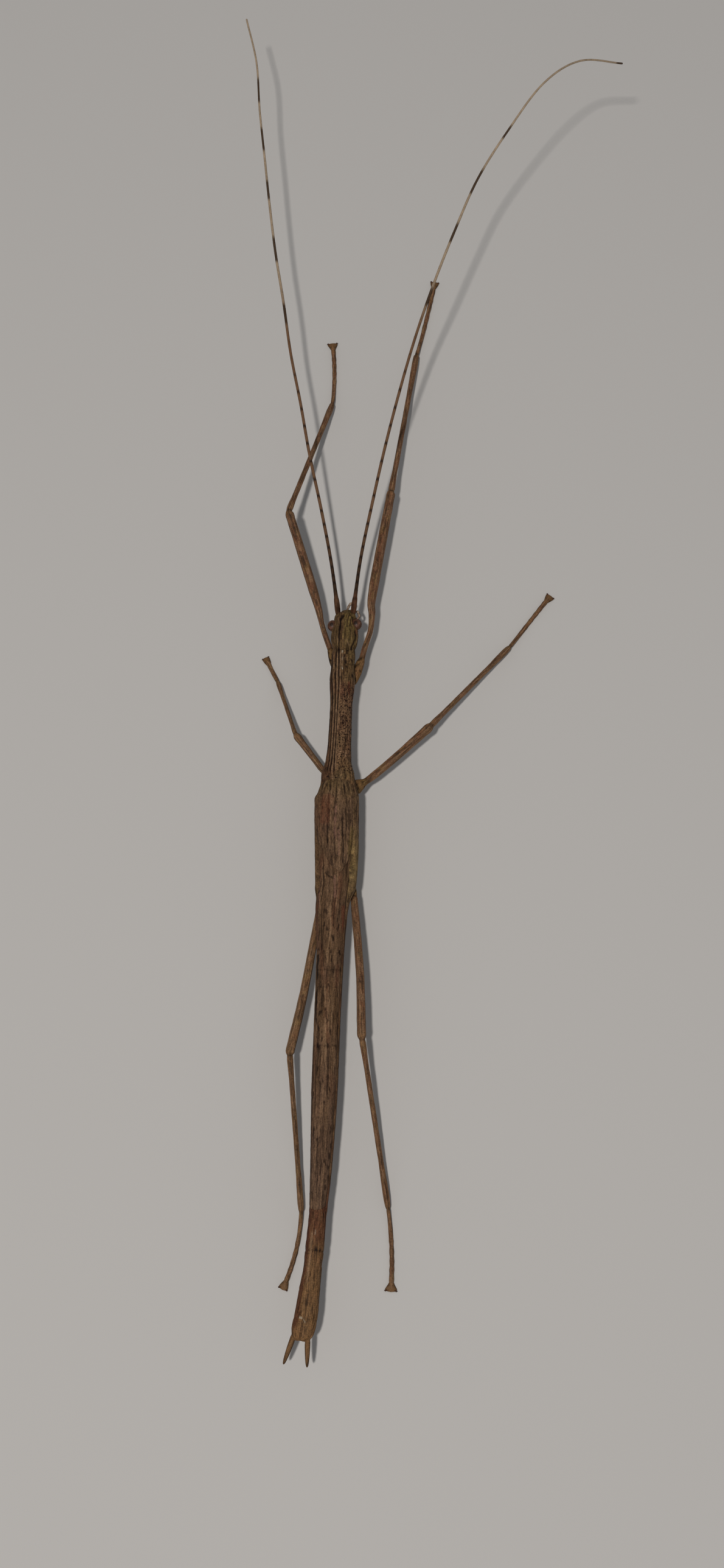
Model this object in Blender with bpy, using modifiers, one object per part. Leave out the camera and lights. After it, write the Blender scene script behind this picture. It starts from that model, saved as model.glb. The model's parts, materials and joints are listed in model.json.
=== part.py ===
"""A pink-winged stick insect, a female at rest: a still, life-size model.

The insect stands on a flat floor with its long body a few millimetres above it, rolled a little to its left.
The frame is metres with +Z up, +Y towards the head and +X to the insect's right. The origin is on the floor,
under the middle of the insect's box. Inside this file lengths are millimetres, and MM turns them into metres.

Places along the body are given as a distance behind the front of the head. Limbs and feelers are walks: each
starts at a point and goes on in stretches of (length, heading, climb), where a heading of 0 degrees runs
towards the head's side (+Y), 90 degrees to the insect's right, and a climb of 90 degrees is straight up.
"""

import math

import bmesh
import bpy
from mathutils import Matrix, Vector

MM = 0.001

# Driving sizes, in millimetres and degrees.
BODY_LENGTH = 90.0  # from the front of the head to the end of the abdomen, without the cerci
ROLL = 13.0  # the back leans this far to the insect's left
GAP = 0.25  # between two pieces that meet
FINE_GAP = 0.12  # round the eyes and feeler roots, which sit snugly in the head
SHELL = 0.5  # thickness of a wing
COVER = SHELL + GAP  # what lies over the back under one folded wing
FRONT = Vector((-11.075, 6.718, 0.0))  # where the head's front is, on the floor, from the origin
FEELER = 0.26  # radius of the feelers, the thinnest pieces
BLUNT = 0.12  # how much a tube's radius shrinks at its ends

# Where the body is divided, behind the front of the head.
NECK = 5.3
PROTHORAX_END = 9.6
MESOTHORAX_END = 24.0
METATHORAX_END = 37.1
ABDOMEN_CUTS = (METATHORAX_END, 51.5, 65.9, 79.8, 84.3, 87.5, BODY_LENGTH)
ABDOMEN_NAMES = ("abdomen_2_3", "abdomen_4_5", "abdomen_6_7", "abdomen_8", "abdomen_9", "abdomen_10")
TEGMEN_START, TEGMEN_END = 23.1, 34.8
HINDWING_START, HINDWING_END = 27.3, 74.6
TUCK_START, TUCK_END = 22.9, 75.0  # the back is lower here, to make room for the wings
SEAM = 66.0  # where the two tegmina meet, left over right, in degrees round the back from the right side

UPPER_ANGLES = (14.0, 32.0, 50.0, 70.0, 90.0, 110.0, 130.0, 148.0, 166.0)
LOWER_STEPS = 8


def through(*stations):
    """A smooth function through (place, value) stations, level beyond the first and the last."""
    places = [place for place, _ in stations]
    values = [value for _, value in stations]
    rises = [(b - a) / (q - p) for p, q, a, b in zip(places, places[1:], values, values[1:])]
    slopes = [0.0]
    for before, after in zip(rises, rises[1:]):
        turns = before * after <= 0.0
        slopes.append(0.0 if turns else 2.0 * before * after / (before + after))
    slopes.append(0.0)

    def value_at(place):
        if place <= places[0]:
            return values[0]
        if place >= places[-1]:
            return values[-1]
        i = max(k for k in range(len(places) - 1) if places[k] <= place)
        width = places[i + 1] - places[i]
        t = (place - places[i]) / width
        return (
            values[i] * (1 + 2 * t) * (1 - t) ** 2
            + values[i + 1] * t * t * (3 - 2 * t)
            + width * (slopes[i] * t * (1 - t) ** 2 + slopes[i + 1] * t * t * (t - 1))
        )

    return value_at


# The spine: how far it has drifted to the right of the head's front, and its height above the floor.
spine_drift = through(
    (0, 0.08), (2, -0.10), (4, -0.14), (8, -0.38), (10, -0.42), (13, -0.54), (17, -0.69), (25, -1.03),
    (31, -1.02), (36, -1.13), (40, -1.50), (50, -1.98), (70, -2.72), (80, -3.48), (84.3, -4.03), (87, -4.36),
    (88.7, -4.70), (BODY_LENGTH, -4.95),
)
spine_height = through((0, 4.85), (4, 5.1), (20, 5.15), (45, 5.1), (75, 5.0), (BODY_LENGTH, 4.7))

# The body's half width, the height of its back above the spine and the depth of its belly below it.
half_width = through(
    (0.0, 0.78), (0.8, 1.28), (2.0, 1.42), (3.6, 1.74), (4.6, 1.64), (NECK, 1.42),
    (6.4, 1.50), (7.6, 1.46), (9.4, 1.60), (10.4, 1.56), (12.8, 1.38), (17.0, 1.42), (20.2, 1.60),
    (21.8, 2.05), (23.4, 2.35), (25.0, 2.74), (31.0, 2.70), (36.0, 2.52), (38.2, 1.86),
    (44.0, 1.67), (52.0, 1.60), (60.0, 1.58), (66.0, 1.43), (72.0, 1.20), (76.0, 1.02),
    (80.0, 1.08), (81.6, 1.03), (84.3, 1.20), (87.0, 1.36), (88.8, 1.42), (89.6, 1.28), (BODY_LENGTH, 1.02),
)
back = through(
    (0.0, 0.40), (0.8, 0.92), (2.2, 1.28), (3.8, 1.36), (NECK, 1.18),
    (6.4, 1.36), (7.6, 1.26), (9.2, 1.40), (12.0, 1.36), (19.0, 1.50), (23.0, 1.80),
    (27.5, 2.52), (31.0, 2.45), (35.0, 2.36), (37.0, 1.95), (74.0, 1.60),
    (75.3, 0.98), (80.0, 0.96), (84.3, 1.02), (87.2, 0.98), (88.8, 0.82), (BODY_LENGTH, 0.50),
)
belly = through(
    (0.0, 0.70), (0.8, 1.12), (2.2, 1.32), (3.8, 1.34), (NECK, 1.12),
    (6.4, 1.28), (9.2, 1.36), (14.0, 1.34), (20.0, 1.50), (23.4, 1.90), (30.0, 2.00),
    (36.0, 1.85), (38.5, 1.50), (50.0, 1.32), (72.0, 1.16), (80.0, 0.95), (86.0, 0.85),
    (BODY_LENGTH, 0.45),
)
# The outer face of the folded hind wings, under the tegmina and behind them.
wing_half_width = through(
    (HINDWING_START, 1.76), (38.2, 1.86), (44.0, 1.67), (52.0, 1.60), (60.0, 1.58),
    (66.0, 1.43), (72.0, 1.20), (HINDWING_END, 1.08),
)
wing_back = through((HINDWING_START, 1.70), (38.0, 1.82), (52.0, 1.68), (HINDWING_END, 1.58))
# The lowest angle, round from the side, to which the thorax's flank rises outside the wings.
flank_angle = through((METATHORAX_END - 3.0, 20.0), (METATHORAX_END, 0.0))

BARK = (0.105, 0.062, 0.030)
OLIVE = (0.130, 0.088, 0.030)
WING = (0.120, 0.075, 0.042)
REDDISH = (0.115, 0.042, 0.018)
OCHRE = (0.190, 0.110, 0.035)
DARK = (0.022, 0.014, 0.009)
EYE = (0.110, 0.035, 0.018)


def start_empty():
    for old in list(bpy.data.objects):
        bpy.data.objects.remove(old, do_unlink=True)


def collection(name):
    made = bpy.data.collections.new(name)
    bpy.context.scene.collection.children.link(made)
    return made


def finish(name, colour, roughness):
    """A plain shaded material in the part's own colour."""
    made = bpy.data.materials.new(name)
    made.use_nodes = True
    shader = made.node_tree.nodes["Principled BSDF"]
    shader.inputs["Base Color"].default_value = (*colour, 1.0)
    shader.inputs["Roughness"].default_value = roughness
    shader.inputs["Metallic"].default_value = 0.0
    return made


def heading_vector(heading, climb):
    turn, rise = math.radians(heading), math.radians(climb)
    return Vector((math.sin(turn) * math.cos(rise), math.cos(turn) * math.cos(rise), math.sin(rise)))


def walk(start, stretches):
    """The corners of a limb that leaves start and goes on in (length, heading, climb) stretches."""
    corners = [Vector(start)]
    for length, heading, climb in stretches:
        corners.append(corners[-1] + length * heading_vector(heading, climb))
    return corners


def from_front(aside, behind, height):
    """A point aside and behind the head's front edge, and above the floor."""
    return FRONT + Vector((aside, -behind, height))


def body_frame(place):
    """The spine's point, and the body's own right and up directions, at a place along it."""
    step = 0.5
    centre = from_front(spine_drift(place), place, spine_height(place))
    ahead = from_front(spine_drift(place - step), place - step, spine_height(place - step))
    behind = from_front(spine_drift(place + step), place + step, spine_height(place + step))
    forward = (ahead - behind).normalized()
    level_right = forward.cross(Vector((0, 0, 1))).normalized()
    level_up = level_right.cross(forward)
    lean = math.radians(ROLL)
    right = level_right * math.cos(lean) + level_up * math.sin(lean)
    up = level_up * math.cos(lean) - level_right * math.sin(lean)
    return centre, right, up


def on_section(place, angle, width, height):
    """A point of an oval round the spine, at an angle up from the insect's right side."""
    centre, right, up = body_frame(place)
    turn = math.radians(angle)
    return centre + right * (width * math.cos(turn)) + up * (height * math.sin(turn))


def body_ring(place):
    """The outline of the body at a place: an oval, with its back tucked in where wings lie over it."""
    ring = []
    for angle in UPPER_ANGLES:
        from_side = min(angle, 180.0 - angle)
        if TUCK_START <= place <= TUCK_END and from_side > flank_angle(place):
            width, height = wing_half_width(place) - COVER, wing_back(place) - COVER
        else:
            width, height = half_width(place), back(place)
        ring.append(on_section(place, angle, width, height))
    for step in range(LOWER_STEPS + 1):
        angle = 180.0 + 180.0 * step / LOWER_STEPS
        ring.append(on_section(place, angle, half_width(place), belly(place)))
    return ring


def oval_ring(centre, across, over, half_across, half_over, sides):
    turns = [2.0 * math.pi * k / sides for k in range(sides)]
    return [
        centre + across * (half_across * math.cos(t)) + over * (half_over * math.sin(t)) for t in turns
    ]


def mesh_object(name, shape, material, into):
    """Turns a bmesh in millimetres into a smooth-shaded object."""
    bmesh.ops.scale(shape, vec=Vector((MM, MM, MM)), verts=shape.verts)
    bmesh.ops.recalc_face_normals(shape, faces=shape.faces)
    mesh = bpy.data.meshes.new(name)
    shape.to_mesh(mesh)
    shape.free()
    mesh.shade_smooth()
    mesh.set_sharp_from_angle(angle=math.radians(50.0))
    mesh.materials.append(material)
    made = bpy.data.objects.new(name, mesh)
    into.objects.link(made)
    return made


def loft(name, rings, material, into):
    """A closed body through rings of equal number, which unlike sections of an insect's body need."""
    shape = bmesh.new()
    loops = [[shape.verts.new(point) for point in ring] for ring in rings]
    for first, second in zip(loops, loops[1:]):
        for k in range(len(first)):
            after = (k + 1) % len(first)
            shape.faces.new((first[k], first[after], second[after], second[k]))
    shape.faces.new(loops[0])
    shape.faces.new(loops[-1])
    return mesh_object(name, shape, material, into)


def body_part(name, places, material, into):
    """A length of the body through rings at these places, half a gap short at each end."""
    first, *middle, last = places
    trimmed = [first + GAP / 2, *middle, last - GAP / 2]
    return loft(name, [body_ring(place) for place in trimmed], material, into)


def spaced(start, end, count):
    return [start + (end - start) * k / (count - 1) for k in range(count)]


def shell(name, start, end, edge, seam, outline, base, tip, material, into):
    """A folded wing: a sheet from its seam on the back down to its edge, with Solidify's thickness inwards.

    edge gives the angle of its edge at a place, and outline its half width and height there. base and tip
    are the lengths over which it widens and narrows.
    """
    along, across = 16, 3
    shape = bmesh.new()
    bmesh.ops.create_grid(shape, x_segments=along, y_segments=across, size=1.0)
    narrowest = 0.16
    for vert in shape.verts:
        share_along, share_across = (vert.co.x + 1.0) / 2.0, (vert.co.y + 1.0) / 2.0
        place = start + (end - start) * share_along
        opened = min(1.0, (place - start) / base, (end - place) / tip)
        spread = narrowest + (1.0 - narrowest) * math.sqrt(1.0 - (1.0 - opened) ** 2)
        width, height = outline(place)
        vert.co = on_section(place, seam + (edge(place) - seam) * spread * share_across, width, height)
    made = mesh_object(name, shape, material, into)
    point = made.data.polygons[0].center / MM
    place = FRONT.y - point.y
    if (point - body_frame(place)[0]).dot(made.data.polygons[0].normal) < 0.0:
        made.data.flip_normals()
    thick = made.modifiers.new("thickness", "SOLIDIFY")
    thick.thickness = SHELL * MM
    thick.offset = -1.0
    thick.use_even_offset = False
    return made


def smooth_path(corners, rounds=8):
    """Points of a smooth curve through the corners of a walk."""
    ends = [2 * corners[0] - corners[1], *corners, 2 * corners[-1] - corners[-2]]
    path = []
    for a, b, c, d in zip(ends, ends[1:], ends[2:], ends[3:]):
        for k in range(rounds):
            t = k / rounds
            bend = (2 * a - 5 * b + 4 * c - d) * t**2 + (3 * b - a - 3 * c + d) * t**3
            path.append(0.5 * (2 * b + (c - a) * t + bend))
    path.append(corners[-1].copy())
    return path


def path_length(path):
    return sum((b - a).length for a, b in zip(path, path[1:]))


def along_path(path, distance):
    """The point at a distance along a path."""
    left = distance
    for a, b in zip(path, path[1:]):
        length = (b - a).length
        if left <= length:
            return a.lerp(b, left / length)
        left -= length
    return path[-1].copy()


def tube(name, path, start, end, girth, places, material, into):
    """A curve with a round bevel from start to end along a path, with blunt ends and a varying radius."""
    distances = [start, *[start + (end - start) * share for share in places], end]
    made = bpy.data.curves.new(name, "CURVE")
    made.dimensions = "3D"
    made.bevel_depth = MM
    made.bevel_resolution = 2
    made.use_fill_caps = True
    spline = made.splines.new("POLY")
    spline.points.add(len(distances) - 1)
    for k, (point, distance) in enumerate(zip(spline.points, distances)):
        share = (distance - start) / (end - start)
        at_end = k in (0, len(distances) - 1)
        point.co = (*(along_path(path, distance) * MM), 1.0)
        point.radius = girth(share) - (BLUNT if at_end else 0.0)
    spline.use_smooth = True
    made.materials.append(material)
    joined = bpy.data.objects.new(name, made)
    into.objects.link(joined)
    return joined


def as_mesh(curve_object):
    """The same shape as one closed mesh, for a cut or for a flat sole."""
    graph = bpy.context.evaluated_depsgraph_get()
    mesh = bpy.data.meshes.new_from_object(curve_object.evaluated_get(graph))
    shape = bmesh.new()
    shape.from_mesh(mesh)
    bmesh.ops.remove_doubles(shape, verts=shape.verts, dist=0.001 * MM)
    bmesh.ops.recalc_face_normals(shape, faces=shape.faces)
    shape.to_mesh(mesh)
    shape.free()
    name, homes = curve_object.name, list(curve_object.users_collection)
    bpy.data.objects.remove(curve_object, do_unlink=True)
    made = bpy.data.objects.new(name, mesh)
    mesh.shade_smooth()
    for home in homes:
        home.objects.link(made)
    return made


def with_flat_sole(curve_object):
    """A foot stands on the floor, so what would reach below it is pressed flat."""
    made = as_mesh(curve_object)
    for vert in made.data.vertices:
        vert.co.z = max(vert.co.z, 0.0)
    return made


def helper(cutter):
    cutter.hide_render = True
    cutter.display_type = "WIRE"
    return cutter


def cut(piece, cutter):
    room = piece.modifiers.new(f"room for {cutter.name}", "BOOLEAN")
    room.operation = "DIFFERENCE"
    room.object = cutter


def ball(name, centre, radii, turn, rings, segments, material, into):
    shape = bmesh.new()
    bmesh.ops.create_uvsphere(shape, u_segments=segments, v_segments=rings, radius=1.0)
    place = Matrix.Translation(centre) @ turn.to_4x4() @ Matrix.Diagonal((*radii, 1.0))
    bmesh.ops.transform(shape, matrix=place, verts=shape.verts)
    return mesh_object(name, shape, material, into)


# Eyes

EYE_PLACE, EYE_OUT, EYE_UP = 2.05, 1.55, 0.15
EYE_RADII = (0.66, 0.74, 0.64)


def add_eyes(head, materials, parts, cutters):
    """Round eyes that bulge from the sides of the head, each in a socket."""
    centre, right, up = body_frame(EYE_PLACE)
    turn = Matrix((right, up.cross(right), up)).transposed()
    for side, name in ((-1, "eye_left"), (1, "eye_right")):
        middle = centre + right * (side * EYE_OUT) + up * EYE_UP
        ball(name, middle, EYE_RADII, turn, 7, 10, materials["eye"], parts)
        room = [radius + FINE_GAP for radius in EYE_RADII]
        socket = ball(f"cut_{name}", middle, room, turn, 7, 10, materials["eye"], cutters)
        cut(head, helper(socket))


# Feelers

FEELER_BASE = 3.3  # the two stout joints nearest the head
FEELER_ROOT = {-1: (-0.76, 0.95, 0.85), 1: (1.10, 0.85, 0.85)}  # right, behind and up in the head's frame
LEFT_FEELER = (
    82.4,
    ((-8, 11), (-11, 14), (-13, 22), (-10, 9), (-11, 8), (-8, 7), (-9, 5), (-7, 5), (-6, 4), (-6, 4), (-4, 4),
     (-12, 1)),
)
RIGHT_FEELER = (
    85.9,
    ((8, 11), (12, 13), (14, 23), (16, 24), (18, 24), (22, 29), (22, 13), (24, 11), (34, 17), (40, 19),
     (46, -17), (70, -30)),
)


def add_feelers(head, materials, parts, cutters):
    for side, name, (length, turns) in ((-1, "left", LEFT_FEELER), (1, "right", RIGHT_FEELER)):
        aside, behind, above = FEELER_ROOT[side]
        centre, right, up = body_frame(behind)
        stretch = length / len(turns)
        corners = walk(centre + right * aside + up * above, [(stretch, *turn) for turn in turns])
        path = smooth_path(corners)
        whole = path_length(path)
        base = through((0.0, 0.36), (0.35, 0.40), (0.68, 0.36), (0.76, 0.30), (0.88, 0.33), (1.0, 0.30))
        places = (0.08, 0.35, 0.68, 0.76, 0.88, 0.96)
        tube(f"antenna_{name}_base", path, 0.0, FEELER_BASE, base, places, materials["dark"], parts)
        grown = through((0.0, 0.48 + 0.12), (1.0, 0.52 + 0.12))
        room = tube(f"cut_antenna_{name}", path, -0.4, 1.6, grown, (0.3, 0.6), materials["dark"], cutters)
        cut(head, helper(as_mesh(room)))
        third = (whole - FEELER_BASE) / 3.0
        for k, length_name in enumerate(("inner", "middle", "outer")):
            start = FEELER_BASE + third * k + GAP / 2
            end = FEELER_BASE + third * (k + 1) - (GAP / 2 if k < 2 else 0.0)
            taper = through((0.0, FEELER + 0.03 * (2 - k) / 2), (1.0, FEELER + 0.03 * max(1 - k, 0) / 2))
            shares = [0.01, *spaced(0.12, 0.88, 7), 0.99]
            colour = materials["dark" if k == 0 else "antenna"]
            tube(f"antenna_{name}_{length_name}", path, start, end, taper, shares, colour, parts)


# Mouth feelers

PALP_ROOT = {-1: (-0.05, -0.28, -0.42), 1: (1.42, 0.75, -0.55)}
PALP_STRETCHES = {
    -1: ((0.6, 15, -8), (0.6, 38, 0)),
    1: ((0.7, 14, -8), (0.6, -16, -4)),
}


def add_palps(materials, parts):
    """The two longer mouth feelers, which reach out in front of the jaws."""
    centre, right, up = body_frame(0.0)
    forward = up.cross(right)
    for side, name in ((-1, "palp_left"), (1, "palp_right")):
        aside, behind, above = PALP_ROOT[side]
        root = centre + right * aside - forward * behind + up * above
        path = smooth_path(walk(root, PALP_STRETCHES[side]))
        girth = through((0.0, 0.27), (0.7, 0.29), (1.0, 0.25))
        tube(name, path, 0.0, path_length(path), girth, (0.12, 0.5, 0.88), materials["olive"], parts)


# Legs

KNEE_GAP = GAP / 2
TARSUS_HEIGHT = 0.24  # height of the foot's middle above the floor
CLAW_RADIUS = 0.25

# root: the coxa's place in the body, as (right of the front, behind it, height).
# coxa, femur and tibia: the leg's walk. tarsus: its length and its headings at the ankle and the toe.
# stout: the leg's girth next to the others, as the two smaller legs on the left have grown again.
LEGS = {
    "fore_right": dict(
        root=(1.3, 8.1, 4.1), coxa=(2.1, 21.5, 0),
        femur=((1.0, 9, 0), (2.5, 18, 4.5), (1.1, 10, 5), (1.9, 3, 3), (2.3, 1.5, 2.5), (14.2, 9.8, 1)),
        tibia=(22.4, 9.2, -10), tarsus=(11.4, 14.5, 11), stout=1.0, claws=1.15,
    ),
    "fore_left": dict(
        root=(-1.25, 6.8, 3.6), coxa=(2.1, -19.5, 5.5),
        femur=((1.1, -22, 16), (2.3, -18, 17.5), (3.5, -14, 10), (11.5, -17.7, 14)),
        tibia=(20.8, 16, -20), tarsus=(9.1, 6, -6), stout=0.95, claws=1.35,
    ),
    "mid_right": dict(
        root=(1.2, 23.2, 4.2), coxa=(1.6, 62, 3.5), femur=((4.0, 50, 3), (6.7, 47.5, 2.5)),
        tibia=(16.3, 40.5, -14), tarsus=(8.8, 35, 38.5), stout=0.92, claws=1.15,
    ),
    "mid_left": dict(
        root=(-1.5, 22.5, 3.3), coxa=(1.8, -37, 3.5), femur=((6.2, -36.5, 3),),
        tibia=(8.9, -16.5, -19), tarsus=(3.5, -24, -26), stout=0.72, claws=0.95,
    ),
    "hind_right": dict(
        root=(0.4, 35.3, 3.7), coxa=(1.8, 158, 12.5), femur=((9.7, 175.5, 4.5), (8.2, 178.5, 3.5)),
        tibia=(20.3, 171, -13), tarsus=(9.3, 172, 184), stout=0.92, claws=1.45,
    ),
    "hind_left": dict(
        root=(-2.05, 35.05, 2.9), coxa=(1.7, -157, 3.5),
        femur=((7.2, -170, 5.5), (6.3, -170, 6.5), (7.0, -167.6, 5)),
        tibia=(18.6, 175.5, -12.7), tarsus=(8.9, 182, 204), stout=0.92, claws=1.15,
    ),
}

coxa_girth = through((0.0, 0.58), (0.5, 0.60), (0.8, 0.50), (1.0, 0.40))
straight_femur = through((0.0, 0.46), (0.12, 0.50), (0.6, 0.54), (0.93, 0.58), (1.0, 0.50))
waisted_femur = through(
    (0.0, 0.36), (0.08, 0.34), (0.18, 0.33), (0.28, 0.44), (0.45, 0.60), (0.9, 0.56), (1.0, 0.50)
)
tibia_girth = through((0.0, 0.42), (0.05, 0.40), (0.15, 0.32), (0.7, 0.31), (0.93, 0.40), (1.0, 0.36))
tarsus_girth = through(
    (0.0, 0.26), (0.40, 0.29), (0.42, 0.34), (0.46, 0.27), (0.58, 0.34), (0.62, 0.27), (0.70, 0.34),
    (0.74, 0.27), (0.79, 0.33), (0.83, 0.26), (0.95, 0.36), (1.0, 0.34),
)


# Where along each length of a leg its tube has points, as shares of that length.
COXA_SHARES = (0.1, 0.45, 0.85)
FEMUR_SHARES = (0.03, 0.12, 0.5, 0.9, 0.975)
WAISTED_SHARES = (0.03, 0.08, 0.13, 0.19, 0.26, 0.34, 0.45, 0.65, 0.9, 0.975)
TIBIA_SHARES = (0.015, 0.05, 0.15, 0.5, 0.8, 0.93, 0.985)
TARSUS_SHARES = (0.02, 0.2, 0.40, 0.43, 0.47, 0.58, 0.62, 0.70, 0.74, 0.79, 0.83, 0.95)
CLAW_SHARES = (0.12, 0.3, 0.5, 0.7, 0.88)
SOCKET_SHARES = (0.1, 0.3, 0.5, 0.7, 0.9)


def foot_path(ankle, length, first_heading, last_heading):
    """The foot leaves the ankle, drops to the floor over its first joint and then lies along it."""
    steps = 10
    reach = length / steps
    points = [ankle.copy()]
    for k in range(steps):
        share = (k + 0.5) / steps
        heading = first_heading + (last_heading - first_heading) * share
        level = points[-1] + reach * heading_vector(heading, 0.0)
        fall = min(1.0, (k + 1) / 4.0)
        level.z = ankle.z + (TARSUS_HEIGHT - ankle.z) * math.sin(fall * math.pi / 2)
        points.append(level)
    return points


def claw_path(toe, heading, span):
    """Two claws in one bow across the toe, bent back a little at their tips."""
    ahead, across = heading_vector(heading, 0.0), heading_vector(heading + 90.0, 0.0)
    bow = []
    for k in range(-4, 5):
        share = k / 4.0
        bow.append(toe + across * (span * share / 2) - ahead * (0.22 * share * share))
    return bow


def add_socket(name, leg, root, hip, thigh, thorax, materials, cutters):
    """The room in the thorax that the coxa and the femur's first stretch stand in."""
    inside = root - 0.4 * heading_vector(*leg["coxa"][1:])
    outside = thigh[1] if name.startswith("fore") else hip.lerp(thigh[-1], 0.12)
    path = smooth_path([inside, hip, outside])
    room = through((0.0, 0.66 + GAP + BLUNT), (0.5, 0.70 + GAP), (1.0, 0.58 + GAP + BLUNT))

    def girth(share):
        return room(share) * leg["stout"]

    end = path_length(path)
    grown = tube(f"cut_{name}", path, 0.0, end, girth, SOCKET_SHARES, materials["ochre"], cutters)
    cut(thorax, helper(as_mesh(grown)))


def add_foot(name, leg, ankle, materials, parts):
    """The foot, and its two claws with the pad between them, which stand on the floor."""
    length, first_heading, last_heading = leg["tarsus"]
    path = foot_path(ankle, length, first_heading, last_heading)
    end = path_length(path) - GAP - CLAW_RADIUS
    colour = materials["reddish"]
    foot = tube(f"tarsus_{name}", path, KNEE_GAP, end, tarsus_girth, TARSUS_SHARES, colour, parts)
    with_flat_sole(foot)

    toe = path[-1].copy()
    toe.z = TARSUS_HEIGHT - 0.01
    bow = claw_path(toe, last_heading, leg["claws"])
    girth = through((0.0, CLAW_RADIUS), (0.5, CLAW_RADIUS + 0.03), (1.0, CLAW_RADIUS))
    claws = tube(f"claws_{name}", bow, 0.0, path_length(bow), girth, CLAW_SHARES, materials["dark"], parts)
    with_flat_sole(claws)


def add_leg(name, leg, thorax, materials, parts, cutters):
    root = from_front(*leg["root"])
    hip = walk(root, [leg["coxa"]])[-1]
    thigh = walk(hip, leg["femur"])
    shin = walk(thigh[-1], [leg["tibia"]])

    def limb(part, corners, start, girth, shares, colour):
        path = smooth_path(corners)
        end = path_length(path) - KNEE_GAP

        def stout_girth(share):
            return girth(share) * leg["stout"]

        tube(f"{part}_{name}", path, start, end, stout_girth, shares, materials[colour], parts)

    limb("coxa", [root, hip], 0.0, coxa_girth, COXA_SHARES, "ochre")
    if name.startswith("fore"):
        limb("femur", thigh, KNEE_GAP, waisted_femur, WAISTED_SHARES, "reddish")
    else:
        limb("femur", thigh, KNEE_GAP, straight_femur, FEMUR_SHARES, "reddish")
    limb("tibia", shin, KNEE_GAP, tibia_girth, TIBIA_SHARES, "reddish")
    add_foot(name, leg, shin[-1], materials, parts)
    add_socket(name, leg, root, hip, thigh, thorax, materials, cutters)


# Cerci and ovipositor plate

CERCUS_LENGTH = {-1: 2.5, 1: 2.6}
CERCUS_HEADING = {-1: -163.5, 1: -179.0}
CERCUS_ASIDE = {-1: -0.98, 1: 0.92}
CERCUS_HALF_THICKNESS = 0.25


def add_cerci(materials, parts):
    """The pair of slim tails at the abdomen's end."""
    centre, right, up = body_frame(BODY_LENGTH)
    leaf = through((0.0, 0.25), (0.4, 0.31), (0.8, 0.29), (1.0, 0.25))
    for side, name in ((-1, "cercus_left"), (1, "cercus_right")):
        along = heading_vector(CERCUS_HEADING[side], -3.0)
        root = centre + right * CERCUS_ASIDE[side] + along * GAP
        across = along.cross(up).normalized()
        rings = []
        for share in (0.0, 0.12, 0.4, 0.8, 1.0):
            middle = root + along * (CERCUS_LENGTH[side] * share)
            rings.append(oval_ring(middle, across, up, leaf(share), CERCUS_HALF_THICKNESS, 8))
        loft(name, rings, materials["ochre"], parts)


PLATE_START, PLATE_END = 80.6, 88.6


def add_plate(materials, parts):
    """The scoop under the last segments that guides the eggs."""

    def below(place):
        return half_width(place), belly(place) + COVER

    def left_edge(place):
        return 225.0

    shell("ovipositor_plate", PLATE_START, PLATE_END, left_edge, 315.0, below, 1.5, 3.5,
          materials["ochre"], parts)


def add_body(materials, parts):
    """The head, the three lengths of the thorax and the abdomen, front to back."""
    head_places = (0.0, 0.35, 0.9, 1.7, 2.5, 3.4, 4.2, 4.9, NECK)
    head = body_part("head", head_places, materials["olive"], parts)
    prothorax_places = (NECK, 5.8, 6.5, 7.6, 8.8, PROTHORAX_END)
    prothorax = body_part("prothorax", prothorax_places, materials["olive"], parts)
    mesothorax_places = (PROTHORAX_END, 12.5, 16.0, 19.0, 20.6, 21.8, 22.8, 23.0, MESOTHORAX_END)
    mesothorax = body_part("mesothorax", mesothorax_places, materials["bark"], parts)
    metathorax_places = (MESOTHORAX_END, 25.2, 28.0, 32.0, 34.1, 35.7, METATHORAX_END)
    metathorax = body_part("metathorax", metathorax_places, materials["bark"], parts)
    abdomen_places = (
        (38.3, 41.0, 46.0), (56.0, 61.0), (70.0, 74.95, 75.1, 77.0), (81.0,), (86.0,), (88.6, 89.5),
    )
    for name, start, end, inner in zip(ABDOMEN_NAMES, ABDOMEN_CUTS, ABDOMEN_CUTS[1:], abdomen_places):
        body_part(name, (start, *inner, end), materials["reddish" if start > 70 else "bark"], parts)
    return head, {"fore": prothorax, "mid": mesothorax, "hind": metathorax}


def add_wings(materials, parts):
    """Two short fore wings, the tegmina, over the roots of the folded hind wings, which cover the abdomen."""

    def over_all(place):
        return half_width(place), back(place)

    def folded(place):
        return wing_half_width(place), wing_back(place)

    tegmen_edge = through((TEGMEN_START, 30.0), (TEGMEN_END, 30.0))
    hindwing_edge = through((METATHORAX_END, 38.0), (METATHORAX_END + 3.0, 14.0))
    # name, start, end, edge, seam, half the angle left free along the seam, outline, base, tip
    wings = (
        ("tegmen", TEGMEN_START, TEGMEN_END, tegmen_edge, SEAM, 5.0, over_all, 2.2, 6.0),
        ("hindwing", HINDWING_START, HINDWING_END, hindwing_edge, 90.0, 8.5, folded, 1.5, 7.0),
    )
    for name, start, end, edge, seam, free, outline, base, tip in wings:

        def left_edge(place):
            return 180.0 - edge(place)

        shape = (outline, base, tip, materials["wing"], parts)
        shell(f"{name}_right", start, end, edge, seam - free, *shape)
        shell(f"{name}_left", start, end, left_edge, seam + free, *shape)


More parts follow.
